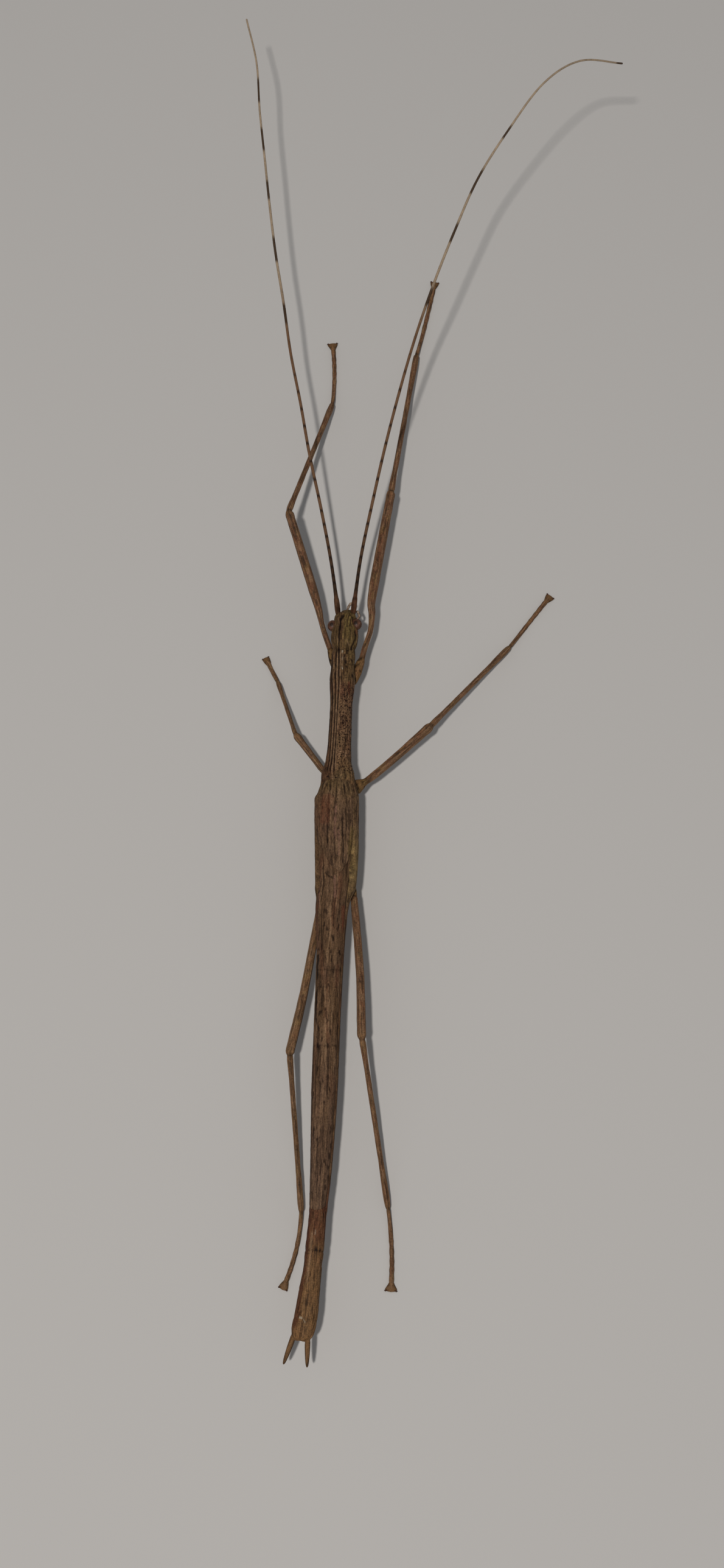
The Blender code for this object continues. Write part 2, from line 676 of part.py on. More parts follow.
def main():
    start_empty()
    parts = collection("stick_insect")
    cutters = collection("cutters")
    materials = {
        "bark": finish("bark_brown", BARK, 0.62),
        "olive": finish("olive_brown", OLIVE, 0.58),
        "wing": finish("wing_brown", WING, 0.60),
        "reddish": finish("reddish_brown", REDDISH, 0.55),
        "ochre": finish("ochre", OCHRE, 0.55),
        "dark": finish("dark_brown", DARK, 0.50),
        "antenna": finish("banded_buff", OCHRE, 0.55),
        "eye": finish("eye_red_brown", EYE, 0.22),
    }
    head, thorax = add_body(materials, parts)
    add_eyes(head, materials, parts, cutters)
    add_feelers(head, materials, parts, cutters)
    add_palps(materials, parts)
    add_wings(materials, parts)
    for name, leg in LEGS.items():
        add_leg(name, leg, thorax[name.split("_")[0]], materials, parts, cutters)
    add_cerci(materials, parts)
    add_plate(materials, parts)


main()
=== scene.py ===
# %% [markdown]
# # A pink-winged stick insect, life-size
#
# The insect stands with its long body a few millimetres above the floor. Its solids come as a fixed frame, and this
# lesson dresses them: one skin for the body and its legs, four wings, two feelers, eyes, claws and small granules.
# Lengths here are millimetres until the last moment, when a finished mesh is scaled to metres. +Y runs towards the
# head, +X to the insect's right and +Z up, and the floor is z = 0.

# %% Load the frame and keep its box
import json
import math
from bisect import bisect_right
from functools import lru_cache

import bmesh
import bpy
from mathutils import Matrix, Vector, noise

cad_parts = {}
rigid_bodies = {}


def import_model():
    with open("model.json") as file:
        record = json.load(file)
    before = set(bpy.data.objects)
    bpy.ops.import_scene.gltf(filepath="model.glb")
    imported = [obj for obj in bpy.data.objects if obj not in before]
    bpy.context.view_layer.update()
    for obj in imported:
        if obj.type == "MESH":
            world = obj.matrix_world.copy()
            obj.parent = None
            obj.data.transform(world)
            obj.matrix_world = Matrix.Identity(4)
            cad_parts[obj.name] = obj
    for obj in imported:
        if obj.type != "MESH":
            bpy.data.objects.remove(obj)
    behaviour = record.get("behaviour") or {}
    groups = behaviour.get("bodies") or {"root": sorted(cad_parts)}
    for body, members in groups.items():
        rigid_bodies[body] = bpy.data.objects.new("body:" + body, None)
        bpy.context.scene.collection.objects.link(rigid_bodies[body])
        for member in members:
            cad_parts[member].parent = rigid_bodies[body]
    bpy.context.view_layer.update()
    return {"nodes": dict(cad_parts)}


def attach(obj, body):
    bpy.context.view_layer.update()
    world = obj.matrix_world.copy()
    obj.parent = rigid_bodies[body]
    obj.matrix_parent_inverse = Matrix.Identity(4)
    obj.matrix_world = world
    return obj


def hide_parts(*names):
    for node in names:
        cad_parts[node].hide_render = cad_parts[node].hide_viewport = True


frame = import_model()
print("nodes in the frame:", len(frame["nodes"]))

# %% [markdown]
# ## Smooth curves through a few sizes
#
# An insect has no straight lines and no circles, so its sizes are given at a few stations along it, and `through`
# runs a smooth curve between them. It stays level beyond both ends and never overshoots a station, which a plain
# spline would do where the body narrows quickly.

# %% Curves through stations
MM = 0.001


def through(*stations):
    """A smooth function through (place, value) stations, level beyond the first and the last."""
    places = [place for place, _ in stations]
    values = [value for _, value in stations]
    rises = [(b - a) / (q - p) for p, q, a, b in zip(places, places[1:], values, values[1:])]
    slopes = [0.0]
    for before, after in zip(rises, rises[1:]):
        slopes.append(0.0 if before * after <= 0.0 else 2.0 * before * after / (before + after))
    slopes.append(0.0)

    def value_at(place):
        if place <= places[0]:
            return values[0]
        if place >= places[-1]:
            return values[-1]
        i = bisect_right(places, place) - 1
        width = places[i + 1] - places[i]
        t = (place - places[i]) / width
        return (
            values[i] * (1 + 2 * t) * (1 - t) ** 2
            + values[i + 1] * t * t * (3 - 2 * t)
            + width * (slopes[i] * t * (1 - t) ** 2 + slopes[i + 1] * t * t * (t - 1))
        )

    return value_at


def step_up(value, low, high):
    """0 below low, 1 above high, and a smooth rise between them."""
    t = min(1.0, max(0.0, (value - low) / (high - low)))
    return t * t * (3 - 2 * t)


def plateau(value, low, high, last, end):
    """A smooth rise from low to high, and a smooth fall from last to end."""
    return step_up(value, low, high) * (1.0 - step_up(value, last, end))


def bump_at(value, centre, width):
    """A soft hill of height 1 at a centre."""
    return math.exp(-(((value - centre) / width) ** 2))


def round_end(share):
    """How full a rounded tip is, from 0 at its point to 1 where the tip ends."""
    return math.sqrt(max(0.0, 1.0 - (1.0 - min(1.0, share)) ** 2))


# %% [markdown]
# ## The line of the body
#
# A place along the body is its distance behind the front of the head. The spine drifts a little to the left as it
# runs back, and the whole body leans to its left, so each place has its own middle, right and up. These repeat the
# solid's own values, because the skin has to lie where the solid is.

# %% Spine
BODY_LENGTH = 90.0
ROLL = 13.0
FRONT = Vector((-11.075, 6.718, 0.0))

spine_drift = through(
    (0, 0.08), (2, -0.10), (4, -0.14), (8, -0.38), (10, -0.42), (13, -0.54), (17, -0.69), (25, -1.03),
    (31, -1.02), (36, -1.13), (40, -1.50), (50, -1.98), (70, -2.72), (80, -3.48), (84.3, -4.03), (87, -4.36),
    (88.7, -4.70), (BODY_LENGTH, -4.95),
)
spine_height = through((0, 4.85), (4, 5.1), (20, 5.15), (45, 5.1), (75, 5.0), (BODY_LENGTH, 4.7))


def from_front(aside, behind, height):
    """A point aside and behind the head's front edge, and above the floor."""
    return FRONT + Vector((aside, -behind, height))


@lru_cache(maxsize=None)
def body_frame(place):
    """The spine's point, and the body's own right and up directions, at a place along it."""
    step = 0.5
    centre = from_front(spine_drift(place), place, spine_height(place))
    ahead = from_front(spine_drift(place - step), place - step, spine_height(place - step))
    behind = from_front(spine_drift(place + step), place + step, spine_height(place + step))
    forward = (ahead - behind).normalized()
    level_right = forward.cross(Vector((0, 0, 1))).normalized()
    level_up = level_right.cross(forward)
    lean = math.radians(ROLL)
    right = level_right * math.cos(lean) + level_up * math.sin(lean)
    up = level_up * math.cos(lean) - level_right * math.sin(lean)
    return centre, right, up


# %% [markdown]
# ## Widths, back and belly
#
# The thorax is a long tube that swells where the middle legs and the wings join it, and the abdomen tapers for half
# the insect's length before it widens again at its tip. Three curves give the half width, the height of the back and
# the depth of the belly.

# %% Outline of the body
NECK, PROTHORAX_END, METATHORAX_END = 5.3, 9.6, 37.1
JOINTS = (NECK, PROTHORAX_END, METATHORAX_END, 44.3, 51.5, 58.7, 65.9, 72.8, 79.8, 84.3, 87.5)

half_width = through(
    (0.0, 0.78), (0.8, 1.28), (2.0, 1.42), (3.6, 1.74), (4.6, 1.64), (NECK, 1.42),
    (6.4, 1.50), (7.6, 1.46), (9.4, 1.60), (10.4, 1.56), (12.8, 1.38), (17.0, 1.42), (20.2, 1.60),
    (21.8, 2.05), (23.4, 2.35), (25.0, 2.74), (31.0, 2.70), (36.0, 2.52), (38.2, 1.86),
    (44.0, 1.67), (52.0, 1.60), (60.0, 1.58), (66.0, 1.43), (72.0, 1.20), (76.0, 1.02),
    (80.0, 1.08), (81.6, 1.03), (84.3, 1.20), (87.0, 1.36), (88.8, 1.42), (89.6, 1.28), (BODY_LENGTH, 1.02),
)
back = through(
    (0.0, 0.40), (0.8, 0.92), (2.2, 1.28), (3.8, 1.36), (NECK, 1.18),
    (6.4, 1.36), (7.6, 1.26), (9.2, 1.40), (12.0, 1.36), (19.0, 1.50), (23.0, 1.80),
    (27.5, 2.52), (31.0, 2.45), (35.0, 2.36), (37.0, 1.95), (74.0, 1.60),
    (75.3, 0.98), (80.0, 0.96), (84.3, 1.02), (87.2, 0.98), (88.8, 0.82), (BODY_LENGTH, 0.50),
)
belly = through(
    (0.0, 0.70), (0.8, 1.12), (2.2, 1.32), (3.8, 1.34), (NECK, 1.12),
    (6.4, 1.28), (9.2, 1.36), (14.0, 1.34), (20.0, 1.50), (23.4, 1.90), (30.0, 2.00),
    (36.0, 1.85), (38.5, 1.50), (50.0, 1.32), (72.0, 1.16), (80.0, 0.95), (86.0, 0.85),
    (BODY_LENGTH, 0.45),
)
# The outer face of the folded hind wings, which swell under the fore wings. The skin below is tucked in by TUCK.
wing_half_width = through(
    (24.0, 1.9), (27.3, 2.45), (31.0, 2.42), (34.8, 2.1), (38.2, 1.86), (44.0, 1.67), (52.0, 1.60),
    (60.0, 1.58), (66.0, 1.43), (72.0, 1.20), (75.3, 1.08),
)
wing_back = through(
    (24.0, 1.7), (27.3, 2.25), (31.0, 2.22), (34.8, 2.05), (38.0, 1.82), (52.0, 1.68), (73.6, 1.58), (75.3, 1.36),
)
flank_angle = through((23.0, 32.0), (34.1, 26.0), (METATHORAX_END, 12.0))
TEGMEN_START, HINDWING_START, HINDWING_END = 22.9, 27.3, 75.25
TUCK_START, TUCK_END, TUCK = 22.6, 75.2, 0.17
print("body:", BODY_LENGTH, "mm long, leaning", ROLL, "degrees, with", len(JOINTS), "rings and joints")


# %% Sections of the body
def under_wings(place, angle):
    """How far the back lies under folded wings here, from 0 to 1."""
    if not TUCK_START < place < TUCK_END + 0.6:
        return 0.0
    from_side = angle if angle <= 90.0 else 180.0 - angle
    lengthwise = plateau(place, TUCK_START, TUCK_START + 0.7, TUCK_END, TUCK_END + 0.6)
    return step_up(from_side, flank_angle(place) - 4.0, flank_angle(place) + 4.0) * lengthwise


def skin_section(place, angle):
    """Half width, and height or depth, of the bare skin at a place and an angle up from the right side."""
    if angle > 180.0 or angle < 0.0:
        return half_width(place), belly(place)
    covered = under_wings(place, angle)
    width, height = half_width(place), back(place)
    if covered:
        width += (wing_half_width(place) - TUCK - width) * covered
        height += (wing_back(place) - TUCK - height) * covered
    return width, height


def on_section(place, angle, width, height):
    """A point of an oval round the spine, at an angle up from the insect's right side."""
    centre, right, up = body_frame(place)
    turn = math.radians(angle)
    return centre + right * (width * math.cos(turn)) + up * (height * math.sin(turn))

# %% [markdown]
# ## Walks and paths
#
# A leg or a feeler is a walk: it leaves a point and goes on in stretches with a heading, where 0 degrees runs towards
# the head's side and 90 to the insect's right, and a climb. A smooth path runs through the walk's corners.

# %% Paths
def heading_vector(heading, climb):
    turn, rise = math.radians(heading), math.radians(climb)
    return Vector((math.sin(turn) * math.cos(rise), math.cos(turn) * math.cos(rise), math.sin(rise)))


def walk(start, stretches):
    corners = [Vector(start)]
    for length, heading, climb in stretches:
        corners.append(corners[-1] + length * heading_vector(heading, climb))
    return corners


def smooth_path(corners, rounds=8):
    """Points of a smooth curve through the corners of a walk."""
    ends = [2 * corners[0] - corners[1], *corners, 2 * corners[-1] - corners[-2]]
    path = []
    for a, b, c, d in zip(ends, ends[1:], ends[2:], ends[3:]):
        for k in range(rounds):
            t = k / rounds
            bend = (2 * a - 5 * b + 4 * c - d) * t**2 + (3 * b - a - 3 * c + d) * t**3
            path.append(0.5 * (2 * b + (c - a) * t + bend))
    path.append(corners[-1].copy())
    return path


class Path:
    """A path that can be asked for its point and its direction at a distance along it."""

    def __init__(self, points):
        self.points = points
        self.sums = [0.0]
        for a, b in zip(points, points[1:]):
            self.sums.append(self.sums[-1] + (b - a).length)
        self.length = self.sums[-1]

    def at(self, distance):
        distance = min(max(distance, 0.0), self.length)
        i = min(bisect_right(self.sums, distance) - 1, len(self.points) - 2)
        share = (distance - self.sums[i]) / max(self.sums[i + 1] - self.sums[i], 1e-9)
        return self.points[i].lerp(self.points[i + 1], share)

    def softened(self, step, reach):
        """The same path with its corners rounded over a reach, in even steps."""
        count = max(2, round(self.length / step))
        spread = [-1.0, -0.6, -0.25, 0.25, 0.6, 1.0]
        points = []
        for k in range(count + 1):
            d = self.length * k / count
            room = min(reach, d, self.length - d)
            points.append(sum((self.at(d + room * s) for s in spread), Vector()) / len(spread))
        return Path(points)

    def frame(self, distance):
        """The point here, the direction ahead, and the level right and the up across it."""
        ahead = (self.at(distance + 0.12) - self.at(distance - 0.12)).normalized()
        right = ahead.cross(Vector((0, 0, 1))).normalized()
        return self.at(distance), ahead, right, right.cross(ahead)


# %% [markdown]
# ## Rolling up a grid
#
# Every part of the skin is a tube whose section changes all the way. `bmesh.ops.create_grid` makes a flat sheet of
# quads, each vertex is sent to its place on the tube, and `remove_doubles` welds the sheet's two long edges and draws
# each end together into a closed tip. That gives clean quads that follow the tube, which fine relief needs. Two
# vertex layers go with it: **lie** is the place in a straightened copy of the limb, for patterns that have to follow
# it round every bend, and **tint** is the local colour of the cuticle.

# %% Tubes from a rolled grid
def new_shape():
    """An empty bmesh with the lie and tint layers."""
    shape = bmesh.new()
    return shape, shape.verts.layers.float_vector.new("lie"), shape.verts.layers.float_color.new("tint")


def on_oval(width, height, turn, distance):
    """A place in the straightened limb, from an oval's half sizes, a turn in radians and the distance along."""
    return Vector((width * math.cos(turn), height * math.sin(turn), distance))


# Vertices closer than this, in millimetres, are welded.
WELD = 0.0008


def rolled(along, around, place_vertex):
    """A closed tube of quads in millimetres. place_vertex(share along, turn) gives (point, lie, tint)."""
    shape, lie, tint = new_shape()
    bmesh.ops.create_grid(shape, x_segments=along, y_segments=around, size=1.0)
    for vert in shape.verts:
        ring = round((vert.co.x + 1.0) / 2.0 * along)
        side = round((vert.co.y + 1.0) / 2.0 * around) % around
        point, lying, colour = place_vertex(ring / along, 360.0 * side / around)
        vert.co = point
        vert[lie] = lying
        vert[tint] = colour if len(colour) == 4 else (*colour, 0.0)
    bmesh.ops.remove_doubles(shape, verts=shape.verts, dist=WELD)
    bmesh.ops.recalc_face_normals(shape, faces=shape.faces)
    return shape


def as_object(name, shape, scale=MM):
    """Turns a bmesh into a smooth-shaded object, from millimetres to metres."""
    bmesh.ops.scale(shape, vec=Vector((scale, scale, scale)), verts=shape.verts)
    mesh = bpy.data.meshes.new(name)
    shape.to_mesh(mesh)
    shape.free()
    mesh.shade_smooth()
    made = bpy.data.objects.new(name, mesh)
    bpy.context.scene.collection.objects.link(made)
    return made


def mixed(first, second, share):
    """One colour moved towards another."""
    share = min(1.0, max(0.0, share))
    return tuple(a + (b - a) * share for a, b in zip(first, second))


def layered(colour, *coats):
    """A colour under thin coats, each of a tone and a share, with the last on top."""
    for tone, share, *_ in coats:
        colour = mixed(colour, tone, share)
    return colour


def grain(x, y, z, seed=0.0):
    """Soft noise between -1 and 1 at a place."""
    return noise.noise(Vector((x + 31.7 * seed, y - 17.3 * seed, z + 7.9 * seed)))


# %% [markdown]
# ## Colours of the cuticle
#
# The insect is the brown of dry bark. Thin coats of other tones lie on it: olive and yellow on the head and the right
# flank, ochre at the joints and the tail, a reddish brown on the legs, grey brown and dull pink on the wings, pale
# lines beside near black ones, and buff on the outer half of the feelers.

# %% Colours
BARK = (0.104, 0.056, 0.027)
OLIVE = (0.122, 0.079, 0.026)
YELLOW = (0.260, 0.178, 0.060)
OCHRE = (0.218, 0.114, 0.046)
REDDISH = (0.122, 0.039, 0.020)
GREYISH = (0.122, 0.070, 0.043)
PALE = (0.255, 0.152, 0.084)
WHITISH = (0.520, 0.440, 0.330)
PINKISH = (0.210, 0.108, 0.074)
DARK = (0.011, 0.005, 0.003)
BUFF = (0.430, 0.335, 0.235)

# %% [markdown]
# ## The body
#
# Head, thorax and abdomen are one tube here. Its relief is worked out in the straightened body: grooves at the
# joints, long fine ridges on the thorax and the abdomen, brows round the eyes and the feeler sockets, and a shallow
# line down the middle of the head.

# %% [markdown]
# Its marks are strokes of a fine brush. A stroke is a short curve in the straightened body with a tone and a width,
# and it may also raise or sink the skin a little, because a dark line on the back often lies in a groove.

# %% Marks on the body
# Each stroke: tone, strength, half width and rise in millimetres, then its (place, angle) points. The angle goes up
# from the insect's right side, so 90 is the middle of the back.
STROKES = (
    # the head: the middle line, its striae, yellow scribbles on the right and the streak down the cheek
    (DARK, 0.96, 0.12, -0.05, (1.1, 98), (2.2, 101), (3.2, 101), (4.2, 104), (5.4, 108), (7.4, 112)),
    (DARK, 0.85, 0.20, -0.02, (1.25, 97), (1.7, 99)),
    (DARK, 0.70, 0.15, 0.00, (1.6, 100), (3.4, 102)),
    (DARK, 0.55, 0.07, -0.02, (2.0, 126), (3.0, 134), (4.2, 138)),
    (DARK, 0.60, 0.07, -0.02, (3.4, 115), (4.8, 121), (5.6, 128)),
    (DARK, 0.35, 0.07, -0.01, (2.2, 113), (3.4, 118)),
    (YELLOW, 0.50, 0.08, 0.03, (1.4, 78), (2.2, 72), (3.0, 76), (3.6, 87), (4.2, 86)),
    (YELLOW, 0.50, 0.08, 0.03, (1.0, 54), (2.2, 58), (3.0, 66), (3.6, 60), (4.2, 52), (4.9, 46)),
    (PALE, 0.35, 0.07, 0.02, (4.3, 72), (4.8, 64), (5.1, 54)),
    (DARK, 0.75, 0.09, -0.02, (1.5, 66), (2.8, 69)),
    (DARK, 0.75, 0.08, -0.02, (1.2, 42), (1.9, 38)),
    (mixed(DARK, OLIVE, 0.35), 0.80, 0.17, 0.00, (3.1, 80), (4.3, 76)),
    (mixed(DARK, OLIVE, 0.35), 0.80, 0.14, 0.00, (3.2, 54), (4.5, 58)),
    (DARK, 0.60, 0.07, -0.02, (2.4, 88), (3.2, 90), (4.4, 94)),
    (DARK, 0.90, 0.11, -0.04, (3.2, 25), (4.4, 30), (5.6, 37)),
    (DARK, 0.95, 0.13, 0.00, (5.5, 37), (5.7, 38)),
    (PALE, 0.50, 0.09, 0.02, (3.2, 8), (4.7, 14)),
    (REDDISH, 0.55, 0.25, 0.00, (1.6, 20), (3.4, 16)),
    # the long lines on the left of the thorax
    (DARK, 0.92, 0.10, -0.05, (5.4, 119), (8, 114), (10.4, 110), (14.8, 108), (18.4, 108), (22.8, 105)),
    (DARK, 0.92, 0.10, -0.05, (5.4, 103), (8, 96), (10.4, 93), (14.8, 96), (18.4, 96), (22.8, 93)),
    (DARK, 0.90, 0.11, -0.05, (6.0, 150), (8.2, 142), (11.0, 131), (14.6, 130), (18.2, 126), (22.6, 116)),
    (PALE, 0.70, 0.08, 0.05, (6.0, 109), (10.4, 101), (14.8, 102), (18.4, 102), (22.6, 99)),
    (PALE, 0.50, 0.08, 0.05, (6.2, 132), (11.0, 120), (14.8, 117), (18.2, 117), (22.4, 111)),
    (PALE, 0.55, 0.08, 0.04, (6.0, 91), (11.2, 87), (14.8, 90), (18.4, 90), (22.2, 87)),
    (DARK, 0.45, 0.34, 0.00, (6.6, 166), (12, 156), (20, 148)),
    (WHITISH, 0.60, 0.07, 0.03, (6.05, 83), (6.25, 82)),
    (WHITISH, 0.40, 0.05, 0.02, (6.9, 80), (7.2, 80)),
    (WHITISH, 0.75, 0.08, 0.03, (8.2, 81), (8.45, 78)),
    (PALE, 0.45, 0.06, 0.02, (6.3, 82), (8.3, 79)),
    # dark marks on the first ring, and along its right side
    (DARK, 0.90, 0.13, 0.02, (6.5, 72), (6.7, 72)),
    (DARK, 0.90, 0.11, 0.02, (5.9, 60), (6.4, 63)),
    (DARK, 0.90, 0.12, 0.02, (7.3, 63), (7.6, 63)),
    (DARK, 0.85, 0.10, 0.02, (7.0, 38), (7.1, 27), (7.6, 20)),
    (DARK, 0.85, 0.08, 0.02, (8.4, 72), (9.4, 71)),
    (DARK, 0.80, 0.08, 0.02, (8.0, 58), (9.0, 55)),
    (DARK, 0.90, 0.13, 0.02, (9.1, 26), (9.3, 24)),
    (REDDISH, 0.80, 0.16, 0.00, (10.2, 46), (11.6, 40)),
    (DARK, 0.60, 0.10, 0.00, (10.4, 47), (11.4, 41)),
    (DARK, 0.70, 0.10, 0.00, (11.1, 65), (11.9, 64)),
    (PALE, 0.80, 0.12, 0.03, (9.7, 8), (10.5, 4)),
    # dashes down the right edge, light streaks and spots before the wings
    (DARK, 0.85, 0.09, 0.03, (11.4, 8), (11.9, 6)),
    (DARK, 0.80, 0.08, 0.03, (12.6, 10), (12.8, 10)),
    (DARK, 0.80, 0.08, 0.03, (13.9, 8), (14.1, 8)),
    (DARK, 0.80, 0.08, 0.03, (15.1, 5), (15.3, 5)),
    (DARK, 0.90, 0.10, 0.03, (15.9, 6), (16.8, 2)),
    (DARK, 0.90, 0.10, 0.03, (17.3, 2), (18.0, 0)),
    (DARK, 0.90, 0.10, 0.03, (18.4, 0), (19.2, 0)),
    (DARK, 0.80, 0.09, 0.03, (19.7, 2), (20.4, 2)),
    (PALE, 0.70, 0.07, 0.03, (19.3, 69), (20.3, 77)),
    (PALE, 0.55, 0.14, 0.02, (19.3, 44), (19.8, 44)),
    (PALE, 0.55, 0.06, 0.03, (21.4, 98), (23.0, 96)),
    (PALE, 0.45, 0.06, 0.03, (21.9, 84), (22.4, 84)),
    (PALE, 0.55, 0.06, 0.03, (21.8, 69), (22.8, 66)),
    (DARK, 0.55, 0.08, -0.02, (21.2, 110), (22.6, 112)),
    (DARK, 0.55, 0.08, -0.02, (21.2, 76), (22.8, 74)),
    (DARK, 0.55, 0.08, -0.02, (21.6, 56), (22.8, 52)),
    # the bare end of the abdomen
    (DARK, 0.60, 0.30, 0.00, (75.2, 165), (79.6, 160)),
    (WHITISH, 0.25, 0.07, 0.01, (77.5, 82), (77.9, 82)),
    (mixed(REDDISH, DARK, 0.4), 0.72, 0.42, 0.00, (75.0, 148), (79.2, 144), (82.8, 139), (85.4, 134), (89.4, 139)),
    (DARK, 0.95, 0.15, 0.00, (79.5, 68), (79.8, 66)),
    (DARK, 0.85, 0.10, 0.00, (79.6, 40), (79.9, 38)),
    (DARK, 0.85, 0.13, -0.02, (79.0, 158), (81.0, 152), (82.6, 150)),
    (PALE, 0.60, 0.14, 0.02, (77.6, 104), (80.4, 100), (84.0, 96)),
    (DARK, 0.75, 0.07, -0.02, (82.0, 60), (83.2, 56)),
    (DARK, 0.55, 0.06, -0.02, (83.6, 84), (86.0, 80)),
    (DARK, 0.50, 0.06, -0.02, (84.4, 120), (87.0, 128)),
    (REDDISH, 0.60, 0.16, 0.00, (84.0, 160), (87.4, 158)),
    (WHITISH, 0.65, 0.07, 0.02, (87.4, 112), (87.5, 98)),
    (WHITISH, 0.35, 0.06, 0.02, (87.7, 86), (87.8, 80)),
    (DARK, 0.45, 0.06, -0.02, (88.0, 92), (89.6, 92)),
)
print("strokes on the body:", len(STROKES))

# %% Strokes near a place
# A stroke longer than this fades at both ends.
LONG_STROKE = 3.0


def nearest_on_stroke(points, place, angle, radius):
    """The distance in millimetres, over the surface, from a place to a stroke."""
    best = 9.0
    for (p, a), (q, b) in zip(points, points[1:]):
        run, turn = q - p, math.radians(b - a) * radius
        ahead, aside = place - p, math.radians(angle - a) * radius
        t = min(1.0, max(0.0, (ahead * run + aside * turn) / (run * run + turn * turn + 1e-9)))
        best = min(best, math.hypot(ahead - run * t, aside - turn * t))
    return best


def strokes_near(strokes, place, angle, radius):
    """(tone, share, rise) of each stroke that reaches here."""
    found = []
    for tone, strength, wide, rise, *points in strokes:
        reach = wide * 1.8 + 0.2
        if points[0][0] - reach < place < points[-1][0] + reach:
            wander = (0.05 + 0.5 * wide) * grain(place * 1.6, angle * 0.05, 0.0, 40)
            apart = nearest_on_stroke(points, place, angle, radius) + wander
            cover = 1.0 - step_up(apart, wide * 0.6, wide * 1.3)
            first, last = points[0][0], points[-1][0]
            if last - first > LONG_STROKE:
                cover *= plateau(place, first - 0.1, first + 0.4, last - 1.2, last + 0.1)
            if cover > 0.0:
                found.append((tone, strength * cover, rise * cover))
    return found


# %% Relief of the body
EYE_PLACE, EYE_OUT, EYE_UP = 2.05, 1.55, 0.15
EYE_RADII = (0.66, 0.74, 0.64)
FEELER_ROOT = {-1: (-0.76, 0.95, 0.85), 1: (1.10, 0.85, 0.85)}
# The plate under the tail, and in millimetres how deep the joints and how high the ridges and the roughness are.
PLATE_START, PLATE_END, PLATE_RISE = 80.6, 88.6, 0.42
RING_DEPTH, JOINT_DEPTH = 0.05, 0.03
RIDGES_ROUND, RIDGE, FOLDS, ROUGHNESS = 18.0, 0.016, 0.035, 0.022

# How strong the ridges are along the body.
ridges = through(
    (4.8, 0.15), (5.6, 0.4), (10.5, 0.5), (11.5, 0.8), (22.0, 0.8), (37.0, 0.6), (76, 1.0), (BODY_LENGTH, 0.7)
)


def socket_centres():
    centre, right, up = body_frame(EYE_PLACE)
    eyes = [centre + right * (side * EYE_OUT) + up * EYE_UP for side in (-1, 1)]
    feelers = []
    for side in (-1, 1):
        aside, behind, above = FEELER_ROOT[side]
        centre, right, up = body_frame(behind)
        feelers.append(centre + right * aside + up * above)
    return eyes, feelers


EYES, FEELERS = socket_centres()
print("eyes at:", [tuple(round(value, 2) for value in eye) for eye in EYES])


def body_relief(place, angle, point, marks):
    """How far the skin rises or sinks here, in millimetres."""
    rise = sum(mark[2] for mark in marks)
    for joint in JOINTS:
        if abs(place - joint) < 1.2:
            depth = RING_DEPTH if METATHORAX_END < joint < 80.0 else JOINT_DEPTH
            rise -= depth * bump_at(place, joint + 0.1 * grain(angle * 0.02, joint, 0.0), 0.12)
    strength = ridges(place)
    wander = 6.0 * grain(0.12 * place, 0.0, 0.0, 3)
    wave = math.cos(math.radians((angle + wander) * RIDGES_ROUND))
    rise += strength * RIDGE * (abs(wave) * 2.0 - 1.0) * (0.6 + 0.6 * grain(place * 0.5, angle * 0.02, 1.0))
    rise += strength * FOLDS * grain(place * 1.1, angle * 0.06, 4.0)
    rise += strength * ROUGHNESS * grain(place * 2.6, angle * 0.16, 8.0)
    if place < NECK + 0.6:
        for eye in EYES:
            apart = (point - eye).length
            rise += 0.08 * bump_at(apart, 0.86, 0.12) - 0.12 * (1.0 - step_up(apart, 0.5, 0.74))
        for feeler in FEELERS:
            apart = (point - feeler).length
            rise += 0.12 * bump_at(apart, 0.55, 0.13) - 0.1 * (1.0 - step_up(apart, 0.25, 0.45))
        rise += 0.05 * grain(place * 1.3, angle * 0.03, 9.0) * step_up(place, 0.4, 1.2)
    if PLATE_START < place < PLATE_END + 0.3:
        under = plateau(angle, 222.0, 232.0, 308.0, 318.0)
        lengthwise = plateau(place, PLATE_START, PLATE_START + 1.2, PLATE_END - 1.0, PLATE_END)
        rise += PLATE_RISE * under * lengthwise
    return rise


# %% [markdown]
# The markings are painted in the same straightened body, so a stripe stays on its ridge. Each tone is a curve along
# the body, noise breaks it up, and the strokes lie on top. The tint's fourth value says how grainy the cuticle is.

# %% Colour of the body
olive_part = through(
    (0, 0.85), (4.5, 0.8), (6.0, 0.5), (9.0, 0.35), (11.0, 0.05), (19.5, 0.05), (21.0, 0.4), (23.5, 0.3), (27, 0.2),
    (35, 0.4), (38, 0.0),
)
reddish_part = through(
    (9.5, 0.0), (10.5, 0.3), (12.5, 0.15), (24, 0.1), (36, 0.0), (71, 0.1), (74.5, 0.7), (78, 0.75), (80, 0.3),
    (84, 0.0),
)
ochre_part = through((72, 0.0), (78.0, 0.25), (80.5, 0.65), (BODY_LENGTH, 0.8))
grainy = through(
    (5.0, 0.0), (6.0, 0.5), (10.5, 0.6), (12.0, 1.0), (20.5, 1.0), (23, 0.5), (37, 0.3), (74, 0.1),
    (BODY_LENGTH, 0.15),
)


def broken(place, angle, seed):
    """Short dark dashes that break up the bark, where two noises of different sizes meet."""
    long = grain(place * 0.9, angle * 0.20, 0.0, seed)
    short = grain(place * 2.4, angle * 0.34, 0.0, seed + 1)
    return step_up(long + 0.7 * short, 0.16, 0.42)


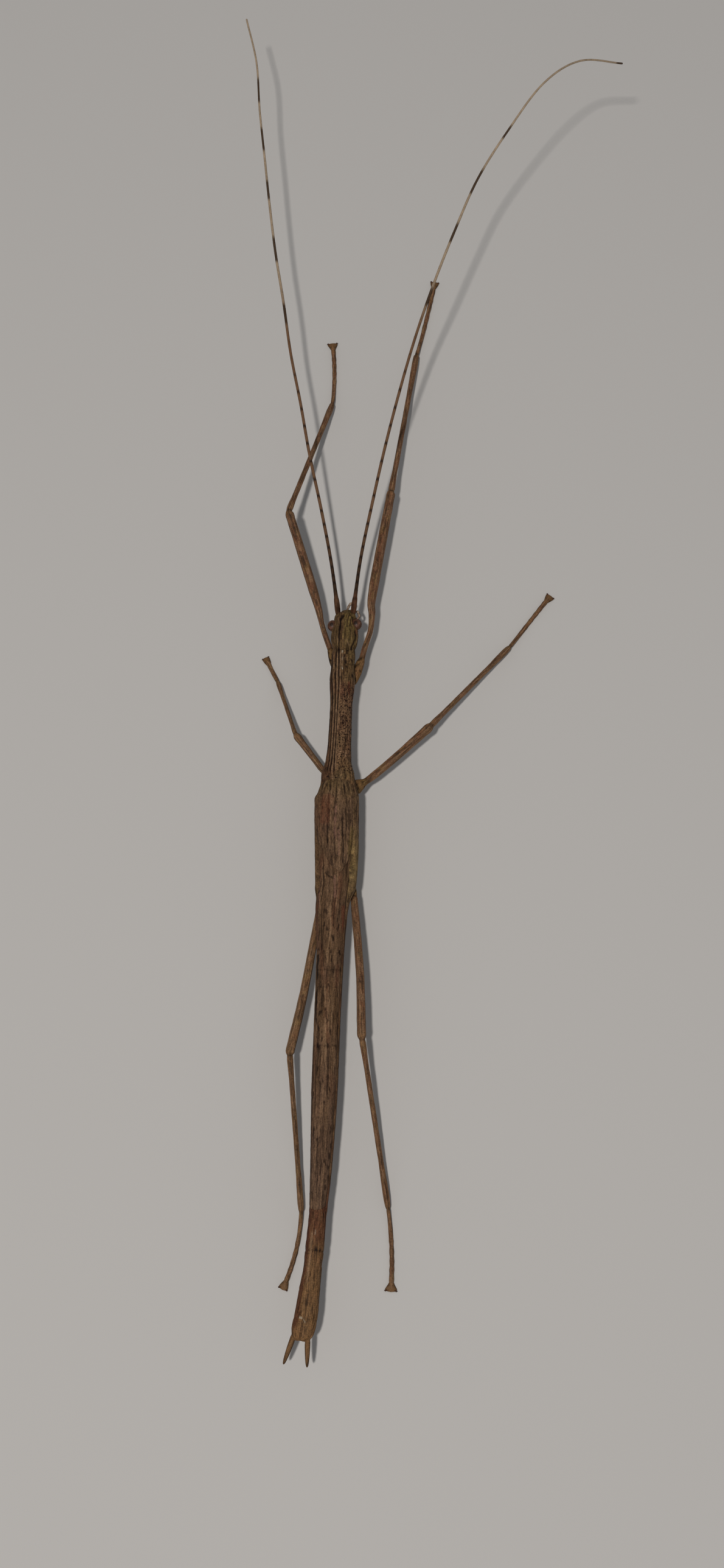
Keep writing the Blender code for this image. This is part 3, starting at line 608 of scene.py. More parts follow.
def body_tint(place, angle, marks):
    right_side = 1.0 - step_up(angle, 70.0, 100.0) if angle < 200.0 else 0.0
    olive = olive_part(place) * (0.1 + 0.9 * right_side if place > 20.0 else 0.45 + 0.55 * right_side)
    yellow = 0.2 * bump_at(place, 22.4, 1.4) + 0.85 * bump_at(place, 33.5, 3.2)
    darker = 0.2 * (1.0 - right_side) * bump_at(place, 8.0, 2.5) + 0.16 * bump_at(place, 77.0, 3.0)
    streak = grain(place * 0.5, angle * 0.14, 0.0, 8) + 0.6 * grain(place * 1.6, angle * 0.3, 0.0, 9)
    colour = layered(
        BARK,
        (OLIVE, olive + 0.3 * grain(place * 0.7, angle * 0.02, 0.0, 5)),
        (YELLOW, right_side * yellow),
        (PALE, 0.22 * right_side * plateau(place, 9.5, 12.0, 38.0, 42.0)),
        (REDDISH, reddish_part(place) + 0.35 * grain(place * 0.5, angle * 0.03, 2.0, 6)),
        (OCHRE, ochre_part(place) * (0.8 + 0.4 * grain(place * 0.6, angle * 0.02, 5.0, 7))),
        (DARK, darker + 0.14 * bump_at(place, 22.8, 1.2)),
        (DARK, 0.65 * step_up(streak, 0.1, 0.5)),
        (PALE, 0.3 * step_up(-streak, 0.15, 0.6)),
        (DARK, 0.4 * broken(place, angle, 74) * (1.0 - 0.5 * ochre_part(place))),
        *((DARK, (0.5 if METATHORAX_END < ring < 80.0 else 0.18) * bump_at(place, ring, 0.12)) for ring in JOINTS),
        *marks,
    )
    return (*colour, grainy(place) * (0.25 + 0.75 * right_side if place < 22.0 else 1.0))


# %% Body tube
BODY_RINGS, BODY_SIDES = 400, 132
NOSE = 0.22
# The back gets closer lines than the belly: a side's share of the way round, and its angle.
side_angle = ((0.0, 270.0), (0.13, 200.0), (0.87, -20.0), (1.0, -90.0))
# The rings stand closest on the head and widest under the wings.
ring_places = ((0.0, -NOSE), (0.205, 10.0), (0.465, 28.0), (0.785, 74.0), (1.0, BODY_LENGTH + 0.1))


def stepped(share, stations):
    """Straight lines through (share, value) stations."""
    for (a, first), (b, last) in zip(stations, stations[1:]):
        if share <= b:
            return first + (last - first) * (share - a) / (b - a)
    return stations[-1][1]


def angle_of(turn):
    """The angle of a side of the rolled grid, which starts and ends under the belly."""
    return stepped(turn / 360.0, side_angle) % 360.0


# What the left side is wider by, and how the tail narrows.
left_width = through(
    (21.6, 0.0), (23.0, -0.22), (24.2, -0.20), (25.1, 0.04), (35.6, 0.0), (37.2, 0.28), (38.4, 0.40), (41.0, 0.24),
    (45.0, 0.0),
)
tail_width = through((88.0, 1.0), (89.4, 0.90), (BODY_LENGTH + 0.1, 0.72))


def left_fill(place, angle):
    """The left side keeps its width behind the thorax, where the right one steps in."""
    left = step_up(angle, 95.0, 140.0) if angle <= 180.0 else 1.0 - step_up(angle, 200.0, 250.0)
    return left * left_width(place)


def place_on_body(share, turn):
    place = stepped(share, ring_places)
    angle = angle_of(turn)
    blunt = round_end((place + NOSE) / 0.7) * round_end((BODY_LENGTH + 0.1 - place) / 0.5)
    width, height = skin_section(place, angle)
    width = (width + left_fill(place, angle)) * tail_width(place)
    centre, _, _ = body_frame(place)
    point = on_section(place, angle, width * blunt, height * blunt)
    around = angle if angle < 250.0 else angle - 360.0
    marks = strokes_near(STROKES, place, around, 0.5 * (width + height))
    rise = body_relief(place, angle, point, marks) * blunt
    outward = (point - centre).normalized() if blunt > 0.01 else Vector()
    lie = on_oval(width, height, math.radians(angle), place)
    return point + outward * rise, lie, body_tint(place, around, marks)


body = rolled(BODY_RINGS, BODY_SIDES, place_on_body)
print("body tube:", len(body.faces), "faces")
body_object = as_object("skin", body)

# %% [markdown]
# ## Granules
#
# Small dark domes stand on the second thorax ring, mostly on its right half, and a few show on its left edge as tiny
# teeth. Each is a coarse sphere sunk in the skin, because a shape that is repeated so often has to stay small, and
# they are joined in one mesh.

# %% Granules
# The place, angle and radius of each large one.
BIG_GRANULES = (
    (12.6, 52, 0.17), (13.4, 76, 0.15), (13.4, 30, 0.17), (14.2, 81, 0.13), (14.8, 69, 0.16), (15.2, 42, 0.15),
    (15.6, 64, 0.20), (15.8, 36, 0.15), (17.2, 78, 0.14), (18.2, 76, 0.15), (11.4, 182, 0.10), (13.2, 180, 0.10),
    (15.1, 181, 0.09), (16.4, 180, 0.11), (17.6, 179, 0.09), (19.2, 180, 0.10), (7.8, 178, 0.09), (9.4, 179, 0.09),
    (22.6, 113, 0.13), (22.8, 84, 0.13),
)


# Many small ones are spread evenly by two irrational steps, one along the ring and one round it.
SMALL_GRANULES, STEP_ALONG, STEP_ROUND = 190, 0.61803, 0.75488


def small_granules():
    found = []
    for k in range(SMALL_GRANULES):
        place = 10.6 + 11.2 * ((k * STEP_ALONG) % 1.0) + 0.6 * grain(k * 1.37, 0.3, 0.0, 50)
        angle = -8.0 + 92.0 * ((k * STEP_ROUND) % 1.0) + 8.0 * grain(0.2, k * 1.91, 0.0, 51)
        found.append((place, angle, 0.085 + 0.05 * grain(k * 0.77, 0.0, 2.0, 52)))
    return found


def granules():
    joined, lie, tint = new_shape()
    for place, angle, size in (*BIG_GRANULES, *small_granules()):
        on_wing = place > TEGMEN_START
        width, height = (half_width(place), back(place)) if on_wing else skin_section(place, angle % 360.0)
        middle = on_section(place, angle, width - 0.5 * size, height - 0.5 * size)
        dome = bmesh.ops.create_uvsphere(joined, u_segments=8, v_segments=5, radius=size)["verts"]
        bmesh.ops.translate(joined, verts=dome, vec=middle)
        for vert in dome:
            vert[lie] = on_oval(width, height, math.radians(angle), place)
            vert[tint] = (*mixed(DARK, REDDISH, 0.06), 0.0)
    return as_object("granules", joined)


granule_object = granules()
print("granules:", len(granule_object.data.polygons), "faces")

# %% [markdown]
# ## The legs
#
# Six legs, each one tube from the hip to the toe: a short hip joint, a long thigh with five fine keels, a shin with
# four, and a foot of five small joints that lies on the floor. The two left legs in front are smaller than the
# others, as legs are that have grown again after a loss.

# %% Leg sizes
# Each root and inner point is aside, behind and up. Each stretch is a length, a heading and a climb, and a tarsus has
# its length and its first and last heading. stout scales the girth, claws is the span of the foot's wedge, and red
# says how reddish the leg is.
LEGS = {
    "fore_right": dict(
        inner=(0.72, 9.9, 3.9), root=(1.28, 8.2, 4.1), coxa=(2.2, 21.5, 0),
        femur=((1.0, 9, 0), (2.5, 18, 4.5), (1.1, 10, 5), (1.9, 3, 3), (2.3, 1.5, 2.5), (14.2, 9.8, 1)),
        tibia=(22.4, 9.2, -10), tarsus=(11.4, 14.5, 11), stout=1.0, claws=1.15, red=1.0,
    ),
    "fore_left": dict(
        root=(-1.25, 6.8, 3.6), coxa=(2.1, -19.5, 5.5),
        femur=((1.1, -22, 16), (2.3, -18, 17.5), (3.5, -14, 10), (11.5, -17.7, 14)),
        tibia=(20.8, 16, -20), tarsus=(9.1, 6, -6), stout=0.95, claws=1.35, red=0.9,
    ),
    "mid_right": dict(
        root=(1.2, 23.2, 4.2), coxa=(1.6, 62, 3.5), femur=((4.0, 50, 3), (6.7, 47.5, 2.5)),
        tibia=(16.3, 40.5, -14), tarsus=(8.8, 35, 38.5), stout=0.92, claws=1.15, red=0.8,
    ),
    "mid_left": dict(
        root=(-1.5, 22.5, 3.3), coxa=(1.8, -37, 3.5), femur=((6.2, -36.5, 3),),
        tibia=(8.9, -16.5, -19), tarsus=(3.5, -24, -26), stout=0.72, claws=0.95, red=0.5,
    ),
    "hind_right": dict(
        root=(0.4, 35.3, 3.7), coxa=(1.8, 158, 12.5), femur=((9.7, 175.5, 4.5), (8.2, 178.5, 3.5)),
        tibia=(20.3, 171, -13), tarsus=(9.3, 172, 184), stout=0.92, claws=1.45, red=0.7,
    ),
    "hind_left": dict(
        root=(-2.05, 35.05, 2.9), coxa=(1.7, -157, 3.5),
        femur=((7.2, -170, 5.5), (6.3, -170, 6.5), (7.0, -167.6, 5)),
        tibia=(18.6, 175.5, -12.7), tarsus=(8.9, 182, 204), stout=0.92, claws=1.15, red=0.35,
    ),
}
TARSUS_HEIGHT = 0.24

coxa_girth = through((0.0, 0.66), (0.3, 0.70), (0.75, 0.54), (1.0, 0.42))
long_coxa_girth = through((0.0, 0.36), (0.3, 0.58), (0.5, 0.64), (0.82, 0.54), (1.0, 0.42))
wide_coxa_girth = through((0.0, 0.90), (0.3, 1.05), (0.6, 0.82), (1.0, 0.42))
straight_femur = through((0.0, 0.46), (0.12, 0.50), (0.6, 0.54), (0.93, 0.58), (1.0, 0.50))
waisted_femur = through(
    (0.0, 0.36), (0.08, 0.34), (0.18, 0.33), (0.28, 0.44), (0.45, 0.60), (0.9, 0.56), (1.0, 0.50)
)
tibia_girth = through((0.0, 0.42), (0.05, 0.38), (0.15, 0.31), (0.7, 0.30), (0.93, 0.38), (1.0, 0.33))
tarsus_girth = through(
    (0.0, 0.24), (0.38, 0.26), (0.42, 0.29), (0.455, 0.24), (0.56, 0.28), (0.595, 0.24), (0.68, 0.29),
    (0.715, 0.245), (0.78, 0.30), (0.81, 0.25), (0.89, 0.30), (0.95, 0.25), (1.0, 0.16),
)


def foot_path(ankle, length, first_heading, last_heading):
    """The foot leaves the ankle, drops to the floor over its first joint and then lies along it."""
    steps = 10
    reach = length / steps
    points = [ankle.copy()]
    for k in range(steps):
        share = (k + 0.5) / steps
        heading = first_heading + (last_heading - first_heading) * share
        level = points[-1] + reach * heading_vector(heading, 0.0)
        fall = min(1.0, (k + 1) / 4.0)
        level.z = ankle.z + (TARSUS_HEIGHT - ankle.z) * math.sin(fall * math.pi / 2)
        points.append(level)
    return points


# %% [markdown]
# A leg's path runs through the corners of four walks, softened at each joint. Every ring of the tube takes its girth
# from the stretch it is on. The thigh and the shin are drawn out in fine keels, which catch the light as thin lines.

# %% The path of a leg
LEG_STEP, LEG_SIDES, KEEL = 0.22, 28, 0.035


def leg_path(leg):
    """The leg's path, and the distances along it of the hip's end, the knee, the ankle and the toe."""
    aside, behind, height = leg["root"]
    root = from_front(aside, behind, height)
    inner = from_front(*leg.get("inner", (aside - math.copysign(0.55, aside), behind + 0.45, height + 0.1)))
    hip = walk(root, [leg["coxa"]])[-1]
    thigh = walk(hip, leg["femur"])
    shin = walk(thigh[-1], [leg["tibia"]])
    foot = foot_path(shin[-1], *leg["tarsus"])
    pieces = [Path(smooth_path(corners)) for corners in ([inner, root, hip], thigh, shin)] + [Path(foot)]
    marks, points = [], [inner]
    for piece in pieces:
        points += piece.points[1:]
        marks.append(Path(points).length)
    return Path(points).softened(LEG_STEP, 0.45), marks


# %% The surface of a leg
def leg_surface(name, leg, seed):
    path, (hip, knee, ankle, toe) = leg_path(leg)
    shrink = path.length / toe
    femur = waisted_femur if name.startswith("fore") else straight_femur
    hip_joint = wide_coxa_girth if name.startswith("mid") else coxa_girth
    if "inner" in leg:
        hip_joint = long_coxa_girth

    def girth(d):
        if d < hip:
            return hip_joint(d / hip)
        if d < knee:
            return femur((d - hip) / (knee - hip)) + 0.07 * bump_at(d, knee - 0.5, 0.45)
        if d < ankle:
            return tibia_girth((d - knee) / (ankle - knee)) - 0.06 * bump_at(d, knee + 0.2, 0.25)
        return tarsus_girth((d - ankle) / (toe - ankle)) / leg["stout"]

    def place_on_leg(share, turn):
        d = toe * share
        centre, _, right, up = path.frame(d * shrink)
        angle = math.radians(turn)
        radius = sum(girth(min(toe, max(0.0, d + s))) for s in (-0.15, -0.05, 0.05, 0.15)) / 4 * leg["stout"]
        blunt = round_end(min(d / 0.4, (toe - d) / 0.35))
        keels = 5 if d < knee else 4
        between = plateau(d, hip, hip + 1.0, ankle - 0.6, ankle + 0.2)
        keel = KEEL * between * (2.0 * max(0.0, math.cos(keels * angle + 0.5)) ** 3 - 0.6)
        rough = 0.022 * grain(math.cos(angle), math.sin(angle), d * 0.8, seed)
        rough += 0.012 * grain(2.0 * math.cos(angle), 2.0 * math.sin(angle), d * 2.4, seed + 3)
        for joint, depth in ((hip, 0.03), (knee + 0.05, 0.06), (ankle + 0.05, 0.06)):
            rough -= depth * bump_at(d, joint, 0.11)
        reach = (radius + keel + rough) * blunt
        point = centre + right * (reach * math.cos(angle)) + up * (reach * math.sin(angle))
        point.z = max(point.z, 0.0)
        lie = on_oval(radius, radius, angle, 150.0 * seed + d)
        return point, lie, leg_tint(d, angle, keel, seed, (hip, knee, ankle, toe), leg["red"])

    return path, toe, place_on_leg


# %% Colours of a leg
def leg_tint(d, angle, keel, seed, marks, red):
    """Ochre hip with dark spots, then reddish brown with a row of dark dashes between two pale rims.

    One side of the leg is darkened from the hip on, as painted shade.
    """
    hip, knee, ankle, toe = marks
    side, top = math.cos(angle), math.sin(angle)
    wave = grain(side * 0.6, top * 0.6, d * 0.8, seed)
    fine = grain(side * 1.4, top * 1.4, d * 2.2, seed + 2)
    thread = grain(side * 3.6, top * 3.6, d * 0.55, seed + 4)
    run = grain(side * 0.8, 7.0, d * 0.7, seed + 5) + 0.7 * grain(side, 3.0, d * 2.3, seed + 6)
    on_hip = 1.0 - step_up(d, hip - 0.2, hip + 0.5)
    off_hip = 1.0 - on_hip
    ochre = 0.95 * on_hip + 0.6 * bump_at(d, knee, 0.8) + 0.5 * bump_at(d, ankle, 0.8)
    ochre += 0.6 * step_up(d, toe - 1.8, toe - 0.6)
    dashes = step_up(run, 0.08, 0.3) * max(0.0, top) ** 8 * off_hip * (1.0 - step_up(d, ankle - 1.0, ankle))
    rim = bump_at(abs(side), 0.97, 0.16) * max(0.0, 0.35 + top) * plateau(d, hip, hip + 1.0, ankle, toe)
    return layered(
        mixed(OCHRE, BARK, 0.65),
        (REDDISH, red * (0.8 - 0.7 * wave - 0.15 * step_up(d, knee, ankle))),
        (mixed(OCHRE, OLIVE, 0.5 * on_hip + 0.6 * wave), ochre * (0.85 + 0.3 * fine)),
        (YELLOW, 0.35 * step_up(-wave, 0.15, 0.5) * off_hip),
        (DARK, 0.8 * dashes),
        (DARK, 0.75 * step_up(thread, 0.06, 0.36) * off_hip),
        (PALE, (0.15 + 0.45 * step_up(-thread, 0.1, 0.4)) * off_hip),
        # painted shade: the leg's left side, as it runs from hip to toe, is darkened as its shadow side
        (DARK, 0.5 * step_up(-side, 0.6, 1.0) * step_up(d, hip, hip + 1.0)),
        (DARK, 0.9 * on_hip * step_up(fine, 0.22, 0.42)),
        (PALE, 0.6 * rim),
        (PALE, 0.35 * step_up(keel, 0.012, 0.04) + 0.25 * step_up(-fine, 0.25, 0.6)),
        *((DARK, 0.55 * bump_at(d, joint, 0.14)) for joint in (hip, knee + 0.08, ankle + 0.05)),
    )


# %% Six legs
legs = {}
for number, (name, leg) in enumerate(LEGS.items(), start=1):
    path, toe, surface = leg_surface(name, leg, number)
    shape = rolled(round(toe / LEG_STEP), LEG_SIDES, surface)
    print("leg", name, ":", round(toe, 1), "mm,", len(shape.faces), "faces")
    legs[name] = (path, as_object(f"leg_{name}", shape))

# %% [markdown]
# ## Mouth feelers, lip and tails
#
# Two slim palps reach out in front of the jaws, a rounded lip lies between them, and two flat tails, the cerci, leave
# the end of the abdomen. They are flattened tubes of the same kind.

# %% A flattened tube
def leaf_tube(path, widths, thickness, tint, seed, step=0.08, sides=16, up=None):
    """A flattened tube along a path. widths(share) and thickness(share) give its half sizes."""

    def place_vertex(share, turn):
        d = path.length * share
        centre, ahead, right, upward = path.frame(d)
        if up is not None:
            right = ahead.cross(up).normalized()
            upward = right.cross(ahead)
        angle = math.radians(turn)
        blunt = round_end(min(d / 0.2, (path.length - d) / 0.25))
        across = widths(share) * math.cos(angle) * blunt
        over = thickness(share) * math.sin(angle) * blunt
        lie = Vector((across, over, 1200.0 + 20.0 * seed + d))
        return centre + right * across + upward * over, lie, tint(share, angle)

    return rolled(max(8, round(path.length / step)), sides, place_vertex)


# %% Palps, lip and cerci
# Of each palp, its root aside, behind and above the head's front, and its three stretches, left and right.
PALPS = {
    -1: ((-0.05, 0.18, -0.42), ((0.55, 10, -4), (0.6, 20, -8), (0.6, 38, 0))),
    1: ((1.05, 1.0, -0.55), ((0.55, 58, -4), (0.5, -4, -6), (0.55, -30, -2))),
}
# Of each cercus, how far aside it starts, its length and its heading.
CERCI = {-1: (-1.08, 2.5, -160.0), 1: (0.80, 2.6, -179.0)}


def palp_tint(share, angle):
    rings = 0.8 * bump_at(share, 0.32, 0.06) + 0.8 * bump_at(share, 0.64, 0.05)
    return layered(
        PINKISH, (WHITISH, 0.25 + 0.25 * share), (BARK, rings), (DARK, 0.85 * abs(math.cos(angle)) ** 4)
    )


def lip_tint(share, angle):
    dark = 0.5 * bump_at(share, 0.35, 0.12) + 0.5 * abs(math.cos(angle)) ** 6
    return layered(YELLOW, (PINKISH, share), (DARK, dark))


def cercus_tint(share, angle):
    dark = 0.75 * abs(math.cos(angle)) ** 3 + 0.35 * step_up(share, 0.7, 1.0)
    return layered(OCHRE, (BARK, 0.4 + 0.3 * share), (DARK, dark))


small = []
centre, right, up = body_frame(0.0)
forward = up.cross(right)
for side, ((aside, behind, above), stretches) in PALPS.items():
    root = centre + right * aside - forward * behind + up * above
    path = Path(smooth_path(walk(root, stretches)))
    widths = through(
        (0.0, 0.13), (0.28, 0.16), (0.33, 0.14), (0.6, 0.18), (0.65, 0.15), (0.85, 0.20), (1.0, 0.15)
    )
    thick = through((0.0, 0.13), (1.0, 0.11))
    small.append(as_object(f"palp_{side}", leaf_tube(path, widths, thick, palp_tint, side + 2)))

# The lip shows as a small rounded flap in front of the head, right of its middle.
root = centre + right * 0.55 - forward * 0.35 - up * 0.12
path = Path(smooth_path([root, root + forward * 0.3, root + forward * 0.62 - up * 0.08]))
widths = through((0.0, 0.36), (0.6, 0.38), (1.0, 0.30))
small.append(as_object("lip", leaf_tube(path, widths, through((0.0, 0.22), (1.0, 0.16)), lip_tint, 9, up=up)))

centre, right, up = body_frame(BODY_LENGTH)
for side, (aside, length, heading) in CERCI.items():
    along = heading_vector(heading, -3.0)
    root = centre + right * aside - along * 0.9
    path = Path(smooth_path([root, root + along * 1.2, root + along * (length + 1.15)]))
    widths = through((0.0, 0.34), (0.35, 0.33), (0.6, 0.29), (0.85, 0.21), (1.0, 0.12))
    thick = through((0.0, 0.20), (1.0, 0.12))
    small.append(as_object(f"cercus_{side}", leaf_tube(path, widths, thick, cercus_tint, side + 6, up=up)))
print("small limbs:", len(small))

# %% [markdown]
# ## One skin
#
# On the living insect the cuticle runs on from body to leg without a gap. A Boolean union of closed tubes gives that:
# it drops what lies inside and leaves one surface. A few rounds of `smooth_vert` near the new edges turn each sharp
# seam into the soft fold that joins a leg to its ring.

# %% Join the tubes into one skin
def unite(target, others):
    for other in others:
        join = target.modifiers.new("join", "BOOLEAN")
        join.operation = "UNION"
        join.solver = "MANIFOLD"
        join.object = other
    graph = bpy.context.evaluated_depsgraph_get()
    united = bpy.data.meshes.new_from_object(target.evaluated_get(graph))
    target.modifiers.clear()
    target.data = united
    for other in others:
        bpy.data.objects.remove(other, do_unlink=True)


before = len(body_object.data.polygons)
unite(body_object, [made for _, made in legs.values()] + small)
print("skin:", before, "faces before,", len(body_object.data.polygons), "after")

# %% [markdown]
# The union leaves its new edge vertices without a place or a tint, so each takes the mean of its neighbours' before
# the seam is softened.

# %% Soften the seams between body and limbs
def soften_seams(made, rounds=4, reach=3):
    shape = bmesh.new()
    shape.from_mesh(made.data)
    lie = shape.verts.layers.float_vector["lie"]
    tint = shape.verts.layers.float_color["tint"]
    fresh = [vert for vert in shape.verts if vert[lie].length_squared == 0.0]
    for _ in range(3):
        for vert in fresh:
            known = [edge.other_vert(vert) for edge in vert.link_edges]
            known = [other for other in known if other[lie].length_squared > 0.0]
            if known:
                vert[lie] = sum((other[lie] for other in known), Vector()) / len(known)
                vert[tint] = sum((other[tint] for other in known), Vector((0, 0, 0, 0))) / len(known)
    zone = set(fresh)
    for _ in range(reach):
        zone |= {edge.other_vert(vert) for vert in zone for edge in vert.link_edges}
    every_way = dict(use_axis_x=True, use_axis_y=True, use_axis_z=True)
    for _ in range(rounds):
        bmesh.ops.smooth_vert(shape, verts=list(zone), factor=0.5, **every_way)
    shape.to_mesh(made.data)
    shape.free()
    return len(fresh)


print("seam vertices softened:", soften_seams(body_object))
body_object.data.shade_smooth()

# %% [markdown]
# ## Wings
#
# The fore wings, the tegmina, are two short scales over the roots of the long hind wings, which lie folded along the
# abdomen. Only the tough front strip of each hind wing shows, and it runs like a brown lid over the pink fan inside.
# Each wing is a thin sheet rolled round the body: veins are raised lines along it, and the left wing laps the right.

# %% Wing sheets
# The fore wings' seam, right of the middle of the back, and how thick a wing is and how high its veins stand.
SEAM, SHEET, VEIN = 66.0, 0.07, 0.05


def wing_sheet(name, kind, end, seam, edge, outline, grid, fans, seed):
    """A folded wing from its seam on the back down to its edge. Solidify gives it its thickness, inwards.

    end(angle) is where the wing stops, seam its inner angle, edge(place) its outer one, outline(place) its half width
    and height, and grid its steps along and across. fans counts the folds. Of its kind, wrinkle is the roughness,
    netted says how clearly the small veins show, ragged how uneven the tip is, and sunk how far the tip sinks.
    """
    start, netted = kind["start"], kind["netted"]
    along, across = grid
    shape, lie, tint = new_shape()
    bmesh.ops.create_grid(shape, x_segments=along, y_segments=across, size=1.0)
    for vert in shape.verts:
        share_along, share_across = (vert.co.x + 1.0) / 2.0, (vert.co.y + 1.0) / 2.0
        place = start + (end(seam + (edge(start) - seam) * share_across) - start) * share_along
        place += kind["ragged"] * grain(share_across * 5.0, 0.0, 0.0, seed + 4) * step_up(share_along, 0.7, 1.0)
        spread = 0.35 + 0.65 * round_end((place - start) / 1.2)
        line = seam + 2.5 * grain(place * 0.7, 0.0, 0.0, seed + 5)
        angle = line + (edge(place) - line) * spread * share_across
        width, height = outline(place)
        fan = share_across * fans + 0.35 * grain(place * 0.4, share_across * 2.0, 0.0, seed)
        valley = 1.0 - abs(2.0 * (fan % 1.0) - 1.0)
        strength = 0.5 + 0.5 * grain(place * 0.3, math.floor(fan) * 2.7, 0.0, seed + 1)
        around = angle if angle < 250.0 else angle - 360.0
        marks = strokes_near(WING_STROKES, place, around, 0.5 * (width + height))
        rise = VEIN * strength * (1.0 - valley**2) - 0.02 + sum(mark[2] for mark in marks)
        rise += kind["wrinkle"] * grain(place * 1.6, angle * 0.07, 0.0, seed)
        rise -= 0.16 * (1.0 - step_up(place, start, start + 0.7)) + 0.05 * step_up(share_across, 0.94, 1.0)
        rise *= 1.0 - step_up(share_along, 0.97, 1.0)
        rise -= kind["sunk"] * step_up(share_along, 0.82, 1.0)
        vert[lie] = on_oval(width, height, math.radians(angle), place)
        vert[tint] = (*kind["paint"](place, angle, strength * (1.0 - valley), marks), netted)
        vert.co = on_section(place, angle, width + rise, height + rise)
    bmesh.ops.recalc_face_normals(shape, faces=shape.faces)
    some = shape.faces[:][len(shape.faces) // 2]
    middle = some.calc_center_median()
    if (middle - body_frame(round(FRONT.y - middle.y, 2))[0]).dot(some.normal) < 0.0:
        bmesh.ops.reverse_faces(shape, faces=shape.faces)
    made = as_object(name, shape)
    thick = made.modifiers.new("thickness", "SOLIDIFY")
    thick.thickness = SHEET * MM
    thick.offset = -1.0
    return made
